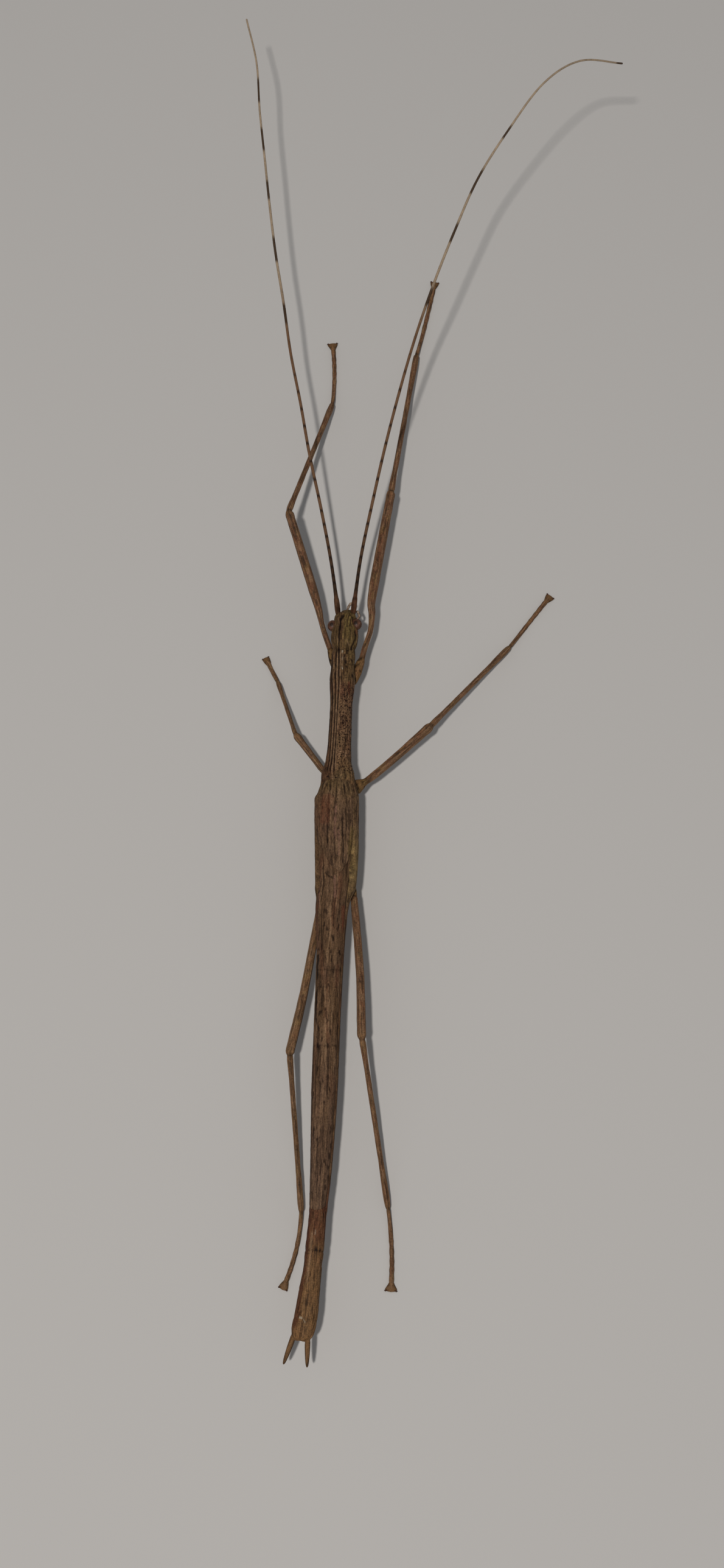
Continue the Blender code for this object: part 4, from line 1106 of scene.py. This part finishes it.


# %% [markdown]
# The wings take the same strokes. The fore wings show fanned veins and two dull pink streaks, and the hind wings a
# row of dark spots, pale streaks and three faint lines across them, where the rings of the abdomen press through. The
# hind wings also carry painted shadow: behind the end of the fore wings, and along the left edge, which stands off
# the abdomen.

# %% Marks on the wings
WING_STROKES = (
    # the fore wings: four lines that fan out from the root, a dark line beside the seam and a few spots
    (DARK, 0.70, 0.08, -0.03, (22.6, 100), (24.6, 100), (27.8, 101), (32.2, 103)),
    (DARK, 0.65, 0.08, -0.03, (22.8, 77), (25.6, 82), (28.0, 84), (33.2, 84)),
    (DARK, 0.45, 0.07, -0.02, (23.2, 116), (26.0, 124), (29.0, 132)),
    (DARK, 0.60, 0.08, -0.02, (23.4, 60), (25.0, 56), (27.4, 46)),
    (DARK, 0.80, 0.09, -0.03, (28.0, 66), (31.0, 61), (34.6, 59)),
    (DARK, 0.55, 0.08, -0.02, (27.8, 46), (32.4, 42)),
    (DARK, 0.80, 0.14, 0.00, (25.1, 91), (25.4, 90)),
    (DARK, 0.80, 0.15, 0.00, (27.1, 96), (27.4, 96)),
    (DARK, 0.70, 0.12, 0.00, (23.6, 112), (23.8, 112)),
    (REDDISH, 0.40, 0.75, 0.00, (25.6, 106), (28.2, 108)),
    (PINKISH, 0.60, 0.13, 0.02, (26.4, 79), (29.4, 83), (31.4, 80)),
    (PINKISH, 0.50, 0.13, 0.02, (29.8, 73), (32.8, 72)),
    (PALE, 0.45, 0.09, 0.03, (24.4, 92), (29.8, 94)),
    (PALE, 0.40, 0.09, 0.03, (24.0, 70), (28.0, 74)),
    (OLIVE, 0.60, 0.30, 0.00, (29.0, 34), (33.6, 40)),
    # the hind wings: the fore wings' shadow painted at their end, long pale streaks, scattered spots and a painted
    # shadow along the left edge
    (DARK, 0.75, 0.10, -0.02, (34.9, 116), (35.4, 102), (35.6, 88)),
    (DARK, 0.70, 0.12, -0.02, (34.8, 124), (37.2, 122), (39.0, 126)),
    (PINKISH, 0.60, 0.13, 0.02, (35.3, 82), (37.8, 76)),
    (PINKISH, 0.50, 0.12, 0.02, (37.4, 136), (39.2, 128)),
    (DARK, 0.85, 0.14, 0.00, (41.1, 106), (41.5, 106)),
    (DARK, 0.80, 0.12, 0.00, (42.5, 84), (42.8, 84)),
    (DARK, 0.80, 0.12, 0.00, (42.9, 66), (43.2, 66)),
    (DARK, 0.75, 0.11, 0.00, (44.5, 74), (44.8, 74)),
    (DARK, 0.80, 0.13, 0.00, (41.2, 48), (41.6, 48)),
    (DARK, 0.80, 0.14, 0.00, (44.4, 32), (44.8, 30)),
    (DARK, 0.75, 0.12, 0.00, (46.5, 22), (46.9, 22)),
    (DARK, 0.70, 0.10, 0.00, (45.2, 69), (45.8, 70)),
    (DARK, 0.80, 0.12, 0.00, (42.6, 138), (43.1, 138)),
    (DARK, 0.70, 0.10, 0.00, (44.6, 104), (46.4, 104)),
    (DARK, 0.75, 0.10, 0.00, (48.7, 78), (49.0, 72)),
    (DARK, 0.80, 0.13, 0.00, (53.5, 20), (53.8, 20)),
    (DARK, 0.80, 0.13, 0.00, (55.9, 116), (56.2, 116)),
    (DARK, 0.80, 0.13, 0.00, (55.9, 70), (56.2, 70)),
    (DARK, 0.75, 0.12, 0.00, (58.7, 110), (59.0, 110)),
    # painted shadow: the dark band under the left hind wing's edge, which stands off the abdomen
    (DARK, 0.90, 0.26, -0.03, (45.1, 141), (47.8, 140)),
    (DARK, 0.90, 0.26, -0.03, (49.2, 142), (53.2, 142)),
    (DARK, 0.55, 0.20, -0.01, (54.6, 146), (72.0, 150)),
    (REDDISH, 0.70, 0.30, 0.00, (39.0, 34), (41.8, 18)),
    (REDDISH, 0.45, 0.30, 0.00, (38.6, 148), (44.0, 150)),
    (PALE, 0.65, 0.12, 0.03, (38.9, 87), (42.2, 80), (44.4, 88), (46.8, 86)),
    (PALE, 0.60, 0.12, 0.03, (48.8, 92), (51.4, 84)),
    (PALE, 0.60, 0.12, 0.03, (52.6, 84), (55.6, 80), (58.6, 76)),
    (PALE, 0.45, 0.10, 0.03, (60.5, 82), (66.0, 84)),
    (DARK, 0.35, 0.09, -0.03, (46.7, 20), (46.9, 84), (46.8, 150)),
    (DARK, 0.30, 0.09, -0.03, (48.9, 40), (49.0, 84), (48.9, 130)),
    (DARK, 0.35, 0.09, -0.03, (55.9, 20), (56.1, 84), (56.0, 150)),
    (DARK, 0.85, 0.10, 0.00, (68.6, 30), (69.2, 29)),
    (DARK, 0.80, 0.10, 0.00, (71.2, 24), (71.8, 23)),
    (DARK, 0.80, 0.10, 0.00, (71.8, 90), (72.4, 90)),
    (DARK, 0.80, 0.10, 0.00, (72.3, 39), (72.8, 38)),
)
print("strokes on the wings:", len(WING_STROKES))


# %% Colours of the wings
def tegmen_tint(place, angle, ridge, marks):
    olive = 0.5 * (1.0 - step_up(place, 23.5, 26.5)) + 0.25 * grain(place * 0.5, angle * 0.04, 0.0, 11)
    streak = grain(place * 0.45, angle * 0.16, 0.0, 13)
    return layered(
        BARK,
        (GREYISH, 0.4 + 0.6 * grain(place * 0.6, angle * 0.03, 0.0, 12)),
        (DARK, 0.12 + 0.12 * (1.0 - step_up(place, 23.5, 25.5))),
        (OLIVE, olive),
        (PALE, 0.18 * (1.0 - step_up(angle, 70.0, 95.0))),
        (REDDISH, 0.3 * step_up(angle, 96.0, 112.0) * bump_at(place, 27.0, 2.6)),
        (DARK, 0.65 * step_up(streak, 0.1, 0.5)),
        (PALE, 0.35 * step_up(-streak, 0.15, 0.5) + 0.25 * ridge),
        (DARK, 0.45 * broken(place, angle, 70)),
        *marks,
    )


def hindwing_tint(place, angle, ridge, marks):
    tail = step_up(place, 50.0, 70.0)
    red = step_up(grain(place * 0.25, angle * 0.03, 3.0, 19), 0.0, 0.4)
    streak = grain(place * 0.25, angle * 0.16, 0.0, 15) + 0.5 * grain(place * 0.8, angle * 0.3, 0.0, 16)
    spot = grain(place * 1.3, angle * 0.1, 0.0, 17)
    return layered(
        BARK,
        (GREYISH, 0.25 + 0.7 * tail + 0.5 * grain(place * 0.3, angle * 0.04, 0.0, 14)),
        (REDDISH, 0.35 * red * (1.0 - tail)),
        (DARK, 0.65 * step_up(streak, 0.1, 0.6)),
        (PALE, 0.45 * step_up(-streak, 0.15, 0.6) + 0.12 * ridge),
        (DARK, 0.35 * broken(place, angle, 72)),
        (DARK, 0.7 * step_up(spot, 0.42, 0.52)),
        *marks,
    )


# %% Four wings
TEGMEN = dict(start=TEGMEN_START, wrinkle=0.05, netted=0.5, ragged=0.5, sunk=0.12, paint=tegmen_tint)
HINDWING = dict(start=HINDWING_START, wrinkle=0.03, netted=0.3, ragged=0.12, sunk=0.03, paint=hindwing_tint)


def around_body(half, top, lift, mirror):
    """The outline of a wing on the body, lifted in millimetres. mirror is 1 on the left, which is a little wider."""
    return lambda place: (half(place) + lift + mirror * left_width(place), top(place) + lift)


left_end = through((SEAM, 34.8), (90.0, 33.9), (108.0, 32.8), (118.0, 31.7), (140.0, 30.6), (166.0, 29.2))
right_end = through((28.0, 31.5), (44.0, 33.4), (58.0, 34.5), (SEAM, 34.8))
hindwing_edge = through((27.3, 24.0), (METATHORAX_END, 24.0), (METATHORAX_END + 3.0, 14.0))


def hindwing_end(angle):
    """The tip is round: the wing stops earlier towards its edge."""
    aside = min(70.0, abs(angle - 88.0)) / 74.0
    return HINDWING_END - 1.8 * (1.0 - math.sqrt(max(0.0, 1.0 - aside**2)))


# Angles round the body: the fore wings' free edges, the hind wings' seam, and how far the wings lap past a seam.
RIGHT_EDGE, LEFT_EDGE, HINDWING_SEAM = 28.0, 180.0 - 14.0, 88.0
UNDERLAP, OVERLAP, LOWER = 6.0, 2.0, -0.05

# The right wings lie lower, because the left ones lap over them.
wings = {
    "tegmen_right": wing_sheet(
        "wing_cover_right", TEGMEN, right_end, SEAM + UNDERLAP, lambda place: RIGHT_EDGE,
        around_body(half_width, back, lift=LOWER, mirror=0), grid=(90, 30), fans=5.0, seed=20,
    ),
    "hindwing_right": wing_sheet(
        "folded_wing_right", HINDWING, hindwing_end, HINDWING_SEAM + UNDERLAP, hindwing_edge,
        around_body(wing_half_width, wing_back, lift=LOWER, mirror=0), grid=(364, 42), fans=8.0, seed=22,
    ),
    "tegmen_left": wing_sheet(
        "wing_cover_left", TEGMEN, left_end, SEAM - OVERLAP, lambda place: LEFT_EDGE,
        around_body(half_width, back, lift=0.03, mirror=1), grid=(90, 62), fans=9.0, seed=21,
    ),
    "hindwing_left": wing_sheet(
        "folded_wing_left", HINDWING, hindwing_end, HINDWING_SEAM - OVERLAP,
        lambda place: 180.0 - hindwing_edge(place),
        around_body(wing_half_width, wing_back, lift=0.0, mirror=1), grid=(364, 42), fans=8.0, seed=23,
    ),
}
for name, made in wings.items():
    print(name, ":", len(made.data.polygons), "faces before Solidify")

# %% [markdown]
# ## Feelers
#
# The feelers are nearly as long as the body: a stout first joint, a short second one and then a thread of nearly
# forty joints that grow longer and thinner. Each is a little thicker at its far end, so the thread looks ringed.

# %% Sizes of the feelers
# The length of each, and the heading and climb of its twelve equal stretches.
LEFT_FEELER = (
    82.4,
    ((-8, 11), (-11, 14), (-13, 22), (-10, 9), (-11, 8), (-8, 7), (-9, 5), (-7, 5), (-6, 4), (-6, 4), (-4, 4),
     (-12, 1)),
)
RIGHT_FEELER = (
    85.9,
    ((8, 11), (12, 13), (14, 23), (16, 24), (18, 24), (22, 29), (22, 13), (24, 11), (34, 17), (40, 19),
     (46, -17), (70, -30)),
)
# How deep the first joint is set in its socket, and the steps of the tube along and round.
FEELER_SUNK, FEELER_STEP, FEELER_SIDES = 0.72, 0.13, 10
feeler_girth = through(
    (0.0, 0.31), (0.9, 0.37), (1.7, 0.34), (2.4, 0.27), (3.4, 0.235), (6.0, 0.215),
    (20.0, 0.195), (50.0, 0.165), (86.0, 0.12),
)
# Where each thread is dark past its middle; it is cream between these stretches.
DARK_BANDS = {
    -1: ((38.4, 40.8), (47.0, 50.2), (55.8, 58.2), (62.8, 65.8), (69.8, 73.0)),
    1: ((40.0, 42.0), (48.4, 50.8), (55.2, 58.4), (63.3, 64.9), (85.0, 86.1)),
}


def feeler_joints(length):
    """The distances at which one joint of the thread ends and the next begins."""
    ends, d, reach = [2.2, 3.2], 3.2, 0.9
    while d + reach < length:
        d += reach
        ends.append(d)
        reach = min(2.3, reach * 1.1)
    return ends


# %% Colours of a feeler
def feeler_tint(side):
    """The first joint is like the head. The thread goes from near black to brown, then to cream and dark bands."""

    def tint(d, angle, near):
        mottle = step_up(grain(d * 1.4, math.cos(angle), math.sin(angle), 33 + side), 0.05, 0.4)
        root = layered(BARK, (REDDISH, 0.5 if side > 0 else 0.25), (DARK, 0.15), (DARK, 0.7 * mottle))
        brown = layered(BARK, (REDDISH, 0.3), (PALE, 0.3))
        thread = mixed(mixed(DARK, BARK, 0.3), brown, step_up(d, 3.0, 15.0))
        band = max(plateau(d, a - 0.4, a + 0.2, b - 0.2, b + 0.6) for a, b in DARK_BANDS[side])
        return layered(
            root,
            (thread, step_up(d, 2.0, 3.2)),
            (BUFF, 0.75 * step_up(d, 36.0, 46.0)),
            (mixed(DARK, BARK, 0.35), 0.92 * band),
            (DARK, 0.8 * near * (1.0 - step_up(d, 24.0, 40.0)) * step_up(d, 2.6, 4.0) + 0.12 * near),
        )

    return tint


# %% Two feelers
antennae = {}
for side, name, (length, turns) in ((-1, "left", LEFT_FEELER), (1, "right", RIGHT_FEELER)):
    root = FEELERS[0 if side < 0 else 1]
    path = Path(smooth_path(walk(root, [(length / len(turns), *turn) for turn in turns])))
    joints = feeler_joints(path.length)
    tint = feeler_tint(side)

    def place_on_feeler(share, turn):
        d = path.length * share
        centre, _, right, up = path.frame(d)
        centre = centre - up * FEELER_SUNK * (1.0 - step_up(d, 0.0, 1.5))
        angle = math.radians(turn)
        i = bisect_right(joints, d)
        start, end = [0.0, *joints, path.length][i : i + 2]
        inside = (d - start) / max(end - start, 0.1)
        near = bump_at(d, start, 0.09) + bump_at(d, end, 0.09)
        stain = bump_at(d, start, 0.22) + bump_at(d, end, 0.22)
        blunt = round_end(min(d / 0.3, (path.length - d) / 0.2))
        radius = feeler_girth(d) * (0.97 + 0.06 * inside**3 - 0.05 * near * step_up(d, 2.6, 4.0)) * blunt
        lie = on_oval(radius, radius, angle, d)
        return centre + (right * math.cos(angle) + up * math.sin(angle)) * radius, lie, tint(d, angle, stain)

    shape = rolled(round(path.length / FEELER_STEP), FEELER_SIDES, place_on_feeler)
    print("feeler", name, ":", round(path.length, 1), "mm,", len(joints), "joints")
    antennae[name] = as_object(f"feeler_{name}", shape)

# %% [markdown]
# ## Eyes
#
# An insect's eye is a dome of hundreds of small lenses. A subdivided icosphere gives evenly spread vertices, and the
# lenses are left to a fine bump in the material, because at life size they are far smaller than a hair.

# %% Eyes
def eye_tint(outward, seed):
    """A dark spot on the top, a paler ring round it and brown mottling towards the rim."""
    from_top = math.acos(min(1.0, max(-1.0, outward.dot(Vector((0.0, -0.1, 1.0)).normalized()))))
    coarse = grain(*(2.4 * value for value in outward), seed)
    fine = grain(*(5.0 * value for value in outward), seed + 1)
    return layered(
        REDDISH,
        (BARK, 0.4),
        (DARK, 0.2 + 0.4 * coarse),
        (mixed(PINKISH, REDDISH, 0.5), 0.6 * bump_at(from_top, 0.75, 0.16)),
        (DARK, 0.6 * step_up(fine, 0.05, 0.4)),
        (DARK, 0.85 * (1.0 - step_up(from_top, 0.25, 0.5))),
        (DARK, 0.5 * step_up(from_top, 1.5, 2.1)),
    )


eyes = {}
centre, right, up = body_frame(EYE_PLACE)
turn = Matrix((right, up.cross(right), up)).transposed()
for number, (middle, name) in enumerate(zip(EYES, ("eye_left", "eye_right"))):
    shape, lie, tint = new_shape()
    bmesh.ops.create_icosphere(shape, subdivisions=5, radius=1.0)
    for vert in shape.verts:
        vert[lie] = vert.co.copy()
        vert[tint] = (*eye_tint(vert.co, 60 + number), 0.0)
    place = Matrix.Translation(middle) @ turn.to_4x4() @ Matrix.Diagonal((*EYE_RADII, 1.0))
    bmesh.ops.transform(shape, matrix=place, verts=shape.verts)
    bmesh.ops.recalc_face_normals(shape, faces=shape.faces)
    eyes[name] = as_object(name.replace("eye", "eye_dome"), shape)
print("eyes:", len(eyes))

# %% [markdown]
# ## Claws
#
# Each foot widens into a soft wedge with a short curved claw at either front corner. The wedge is a flattened tube
# that touches the floor, and the claws are tapered tubes in a bow.

# %% Claws
def claw_tint(share, angle):
    return mixed(mixed(DARK, BARK, 0.3), REDDISH, 0.5 * (1.0 - share))


def pad_tint(share, angle):
    edge = abs(math.cos(angle)) ** 3
    return mixed(mixed(OCHRE, BARK, 0.25 + 0.3 * share), DARK, 0.5 * edge + 0.35 * bump_at(share, 0.45, 0.1))


def foot_end(toe, heading, span):
    """The wedge and its two claws, as one bmesh."""
    ahead, across = heading_vector(heading, 0.0), heading_vector(heading + 90.0, 0.0)
    parts = []
    for side in (-1, 1):
        corner = toe + ahead * 0.24 + across * (0.74 * span * side)
        hook = [
            corner - ahead * 0.1 - across * (0.1 * side),
            corner + ahead * 0.08 + across * (0.16 * span * side),
            corner + across * (0.38 * span * side) - Vector((0, 0, 0.09)),
        ]
        girth = through((0.0, 0.11), (0.4, 0.10), (1.0, 0.035))
        parts.append(leaf_tube(Path(smooth_path(hook)), girth, girth, claw_tint, side + 10, step=0.05, sides=12))
    wedge = [toe - ahead * 0.95 + Vector((0, 0, 0.02)), toe - ahead * 0.2, toe + ahead * 0.42 - Vector((0, 0, 0.08))]
    wide = through((0.0, 0.2), (0.35, 0.38), (0.86, 1.0 * span), (1.0, 0.88 * span))
    thick = through((0.0, 0.16), (0.3, 0.25), (0.6, 0.21), (1.0, 0.10))
    parts.append(leaf_tube(Path(smooth_path(wedge)), wide, thick, pad_tint, 14, step=0.05, sides=20))
    joined, _, _ = new_shape()
    for part in parts:
        mesh = bpy.data.meshes.new("part")
        part.to_mesh(mesh)
        part.free()
        joined.from_mesh(mesh)
        bpy.data.meshes.remove(mesh)
    for vert in joined.verts:
        vert.co.z = max(vert.co.z, 0.0)
    return joined


claws = {}
for name, leg in LEGS.items():
    path, _ = legs[name]
    toe = path.at(path.length)
    toe.z = TARSUS_HEIGHT - 0.05
    claws[name] = as_object(f"foot_claws_{name}", foot_end(toe, leg["tarsus"][2], leg["claws"] / 2.0))
print("pairs of claws:", len(claws))

# %% [markdown]
# ## Finishes
#
# All the cuticle shares one recipe. The painted tint is the base, and noise in the straightened body, drawn out along
# it, lays fine fibres over the tint and into the bump and the gloss. The wings, feelers and claws change the recipe's
# numbers. A small helper adds the nodes, so that each line of a recipe reads as one step.

# %% Materials from nodes
def new_material(name):
    """A new material, with two helpers.

    node adds a node and returns its outputs. finish sets the shader. A value goes to the input of its name, or to the
    setting if the name is in small letters, and the values before them go to the first inputs. An output is linked.
    """
    made = bpy.data.materials.new(name)
    made.use_nodes = True
    tree = made.node_tree

    def feed(inputs, values):
        for key, value in values.items():
            socket = inputs[key if isinstance(key, int) else key.replace("_", " ")]
            if isinstance(value, bpy.types.NodeSocket):
                tree.links.new(value, socket)
            else:
                socket.default_value = value

    def node(kind, *first, **named):
        fresh = tree.nodes.new("ShaderNode" + kind)
        for key in [key for key in named if key[0].islower()]:
            setattr(fresh, key, named.pop(key))
        feed(fresh.inputs, {**dict(enumerate(first)), **named})
        return fresh.outputs

    def finish(**values):
        feed(tree.nodes["Principled BSDF"].inputs, values)
        return made

    return node, finish


# %% Cuticle material
# The fine relief is this deep, and a speckle is about 1 / 6.5 of a millimetre.
RELIEF, SPECKLES = 0.06 * MM, 6.5


def cuticle(name, roughness, fibre, cells=(4.6, 4.6, 4.6), contrast=0.42, bump=0.5, coat=0.02):
    """A tinted finish whose fibres run along the piece. fibre is the noise's scale per mm across and along.

    The tint's fourth value brings in cells, dark inside and light between, of the size that cells gives.
    """
    node, finish = new_material(name)
    tint = node("Attribute", attribute_name="tint")
    lie = node("Attribute", attribute_name="lie")["Vector"]
    stretched = node("Mapping", lie, Scale=fibre)["Vector"]
    fibres = node("TexNoise", stretched, Scale=1.0, Detail=4.0, Roughness=0.62)["Fac"]
    speckles = node("TexNoise", lie, Scale=SPECKLES, Detail=3.0, Roughness=0.6)
    sized = node("Mapping", lie, Scale=cells)["Vector"]
    bent = node("VectorMath", speckles["Color"], (1.3, 1.3, 1.3), sized, operation="MULTIPLY_ADD")["Vector"]
    grains = node("TexVoronoi", bent, Scale=1.0)["Distance"]
    net = node("MapRange", grains, From_Min=0.2, From_Max=0.65, To_Min=-0.36, To_Max=0.24)["Result"]
    both = node("Math", fibres, speckles["Fac"], operation="ADD")[0]
    grained = node("Math", net, tint["Alpha"], both, operation="MULTIPLY_ADD")[0]
    shade = node(
        "MapRange", grained, From_Min=0.75, From_Max=1.25, To_Min=1.0 - contrast, To_Max=1.0 + contrast
    )
    dull = node(
        "MapRange", speckles["Fac"], From_Min=0.3, From_Max=0.7, To_Min=roughness - 0.1, To_Max=roughness + 0.12
    )
    return finish(
        Base_Color=node("VectorMath", tint["Color"], Scale=shade["Result"], operation="SCALE")["Vector"],
        Roughness=dull["Result"],
        Normal=node("Bump", Height=grained, Strength=bump, Distance=RELIEF)["Normal"],
        Specular_IOR_Level=0.10,
        Coat_Weight=coat,
        Coat_Roughness=0.5,
    )


skin_finish = cuticle("cuticle", 0.70, fibre=(7.5, 7.5, 0.8), contrast=0.5)
wing_finish = cuticle("wing", 0.72, fibre=(10.0, 10.0, 0.8), cells=(5.5, 5.5, 2.6), bump=0.7, coat=0.0)
feeler_finish = cuticle("antenna", 0.66, fibre=(5.0, 5.0, 1.5), contrast=0.25, bump=0.2)
claw_finish = cuticle("claw", 0.55, fibre=(6.0, 6.0, 2.0), contrast=0.25, bump=0.15, coat=0.08)
print("finishes:", [finish.name for finish in (skin_finish, wing_finish, feeler_finish, claw_finish)])

# %% [markdown]
# The eye's lenses come from a Voronoi texture on the unit ball, so they are the same size all over the dome, and the
# bump turns each cell into a low facet.

# %% Eye material
def eye_material():
    node, finish = new_material("eye")
    lie = node("Attribute", attribute_name="lie")["Vector"]
    tint = node("Attribute", attribute_name="tint")["Color"]
    mottle = node("TexNoise", lie, Scale=5.0, Detail=3.0)["Fac"]
    shade = node("MapRange", mottle, From_Min=0.35, From_Max=0.65, To_Min=0.65, To_Max=1.35)["Result"]
    lenses = node("TexVoronoi", lie, Scale=26.0)["Distance"]
    return finish(
        Base_Color=node("VectorMath", tint, Scale=shade, operation="SCALE")["Vector"],
        Roughness=0.5,
        Normal=node("Bump", Height=lenses, Strength=0.25, Distance=0.02 * MM, invert=True)["Normal"],
        Specular_IOR_Level=0.25,
        Coat_Weight=0.08,
        Coat_Roughness=0.3,
    )


eye_finish = eye_material()
print("finish of the eyes:", eye_finish.name)

# %% [markdown]
# ## Tie the pieces to the frame
#
# Each piece rides on the frame's one body, takes its finish and hides the solids it stands for.

# %% Ride, replace and finish
FLESH_PARTS = (
    "head", "palp", "prothorax", "mesothorax", "metathorax", "abdomen", "ovipositor", "cercus",
    "coxa", "femur", "tibia", "tarsus",
)
FLESH = [name for name in frame["nodes"] if name.split("_")[0] in FLESH_PARTS]
FEELER_PARTS = ("base", "inner", "middle", "outer")


def dress(piece, finish, slot, *nodes):
    piece.data.materials.clear()
    piece.data.materials.append(finish)
    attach(piece, "root")
    if nodes:
        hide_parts(*nodes)


dress(body_object, skin_finish, "cuticle", *FLESH)
dress(granule_object, skin_finish, "cuticle")
for name, made in wings.items():
    dress(made, wing_finish, "wing", name)
for name, made in antennae.items():
    dress(made, feeler_finish, "antenna", *(f"antenna_{name}_{part}" for part in FEELER_PARTS))
for name, made in eyes.items():
    dress(made, eye_finish, "eye", name)
for name, made in claws.items():
    dress(made, claw_finish, "claw", f"claws_{name}")
print("solids replaced by the skin:", len(FLESH))

# %% [markdown]
# ## Floor, light and camera
#
# The floor is plain and pale. One small warm lamp, high behind the insect and to its left, throws a clear shadow, and
# a pale sky fills it. The camera stands above the abdomen and looks down and ahead, 18 degrees off the vertical.

# %% Floor
FLOOR_SIZE, FLOOR_COLOUR = 3.0, (0.55, 0.53, 0.51, 1.0)

shape = bmesh.new()
bmesh.ops.create_grid(shape, x_segments=1, y_segments=1, size=FLOOR_SIZE)
floor = as_object("floor", shape, 1.0)
_, finish = new_material("floor")
floor.data.materials.append(finish(Base_Color=FLOOR_COLOUR, Roughness=0.8))

# %% Light
# In metres and watts.
KEY_PLACE, KEY_AIM = Vector((-0.105, -0.20, 0.64)), Vector((-0.01, 0.0, 0.0))
KEY_SIZE, KEY_POWER, KEY_COLOUR = 0.035, 2.4, (1.0, 0.97, 0.93)
SKY_COLOUR, SKY_STRENGTH = (0.95, 0.97, 1.0, 1.0), 0.235

lamp = bpy.data.lights.new("key", "AREA")
lamp.shape = "DISK"
lamp.size = KEY_SIZE
lamp.energy = KEY_POWER
lamp.color = KEY_COLOUR
key = bpy.data.objects.new("key", lamp)
key.location = KEY_PLACE
key.rotation_euler = (KEY_AIM - KEY_PLACE).to_track_quat("-Z", "Y").to_euler()
bpy.context.scene.collection.objects.link(key)
world = bpy.data.worlds.new("studio")
world.use_nodes = True
world.node_tree.nodes["Background"].inputs["Color"].default_value = SKY_COLOUR
world.node_tree.nodes["Background"].inputs["Strength"].default_value = SKY_STRENGTH
bpy.context.scene.world = world

# %% Camera
SENSOR_WIDTH, LENS = 36.0, 53.10559
CAMERA_PLACE, CAMERA_TILT = (-0.009025, -0.10437, 0.276), 18.0

lens = bpy.data.cameras.new("camera")
lens.sensor_fit = "AUTO"
lens.sensor_width = SENSOR_WIDTH
lens.lens = LENS
lens.clip_start = 0.001
camera = bpy.data.objects.new("camera", lens)
camera.location = CAMERA_PLACE
camera.rotation_euler = (math.radians(CAMERA_TILT), 0.0, 0.0)
bpy.context.scene.collection.objects.link(camera)
bpy.context.scene.camera = camera
bpy.context.scene.view_settings.view_transform = "Standard"
bpy.context.view_layer.update()
print("camera at", CAMERA_PLACE, "m, tilted", CAMERA_TILT, "degrees")
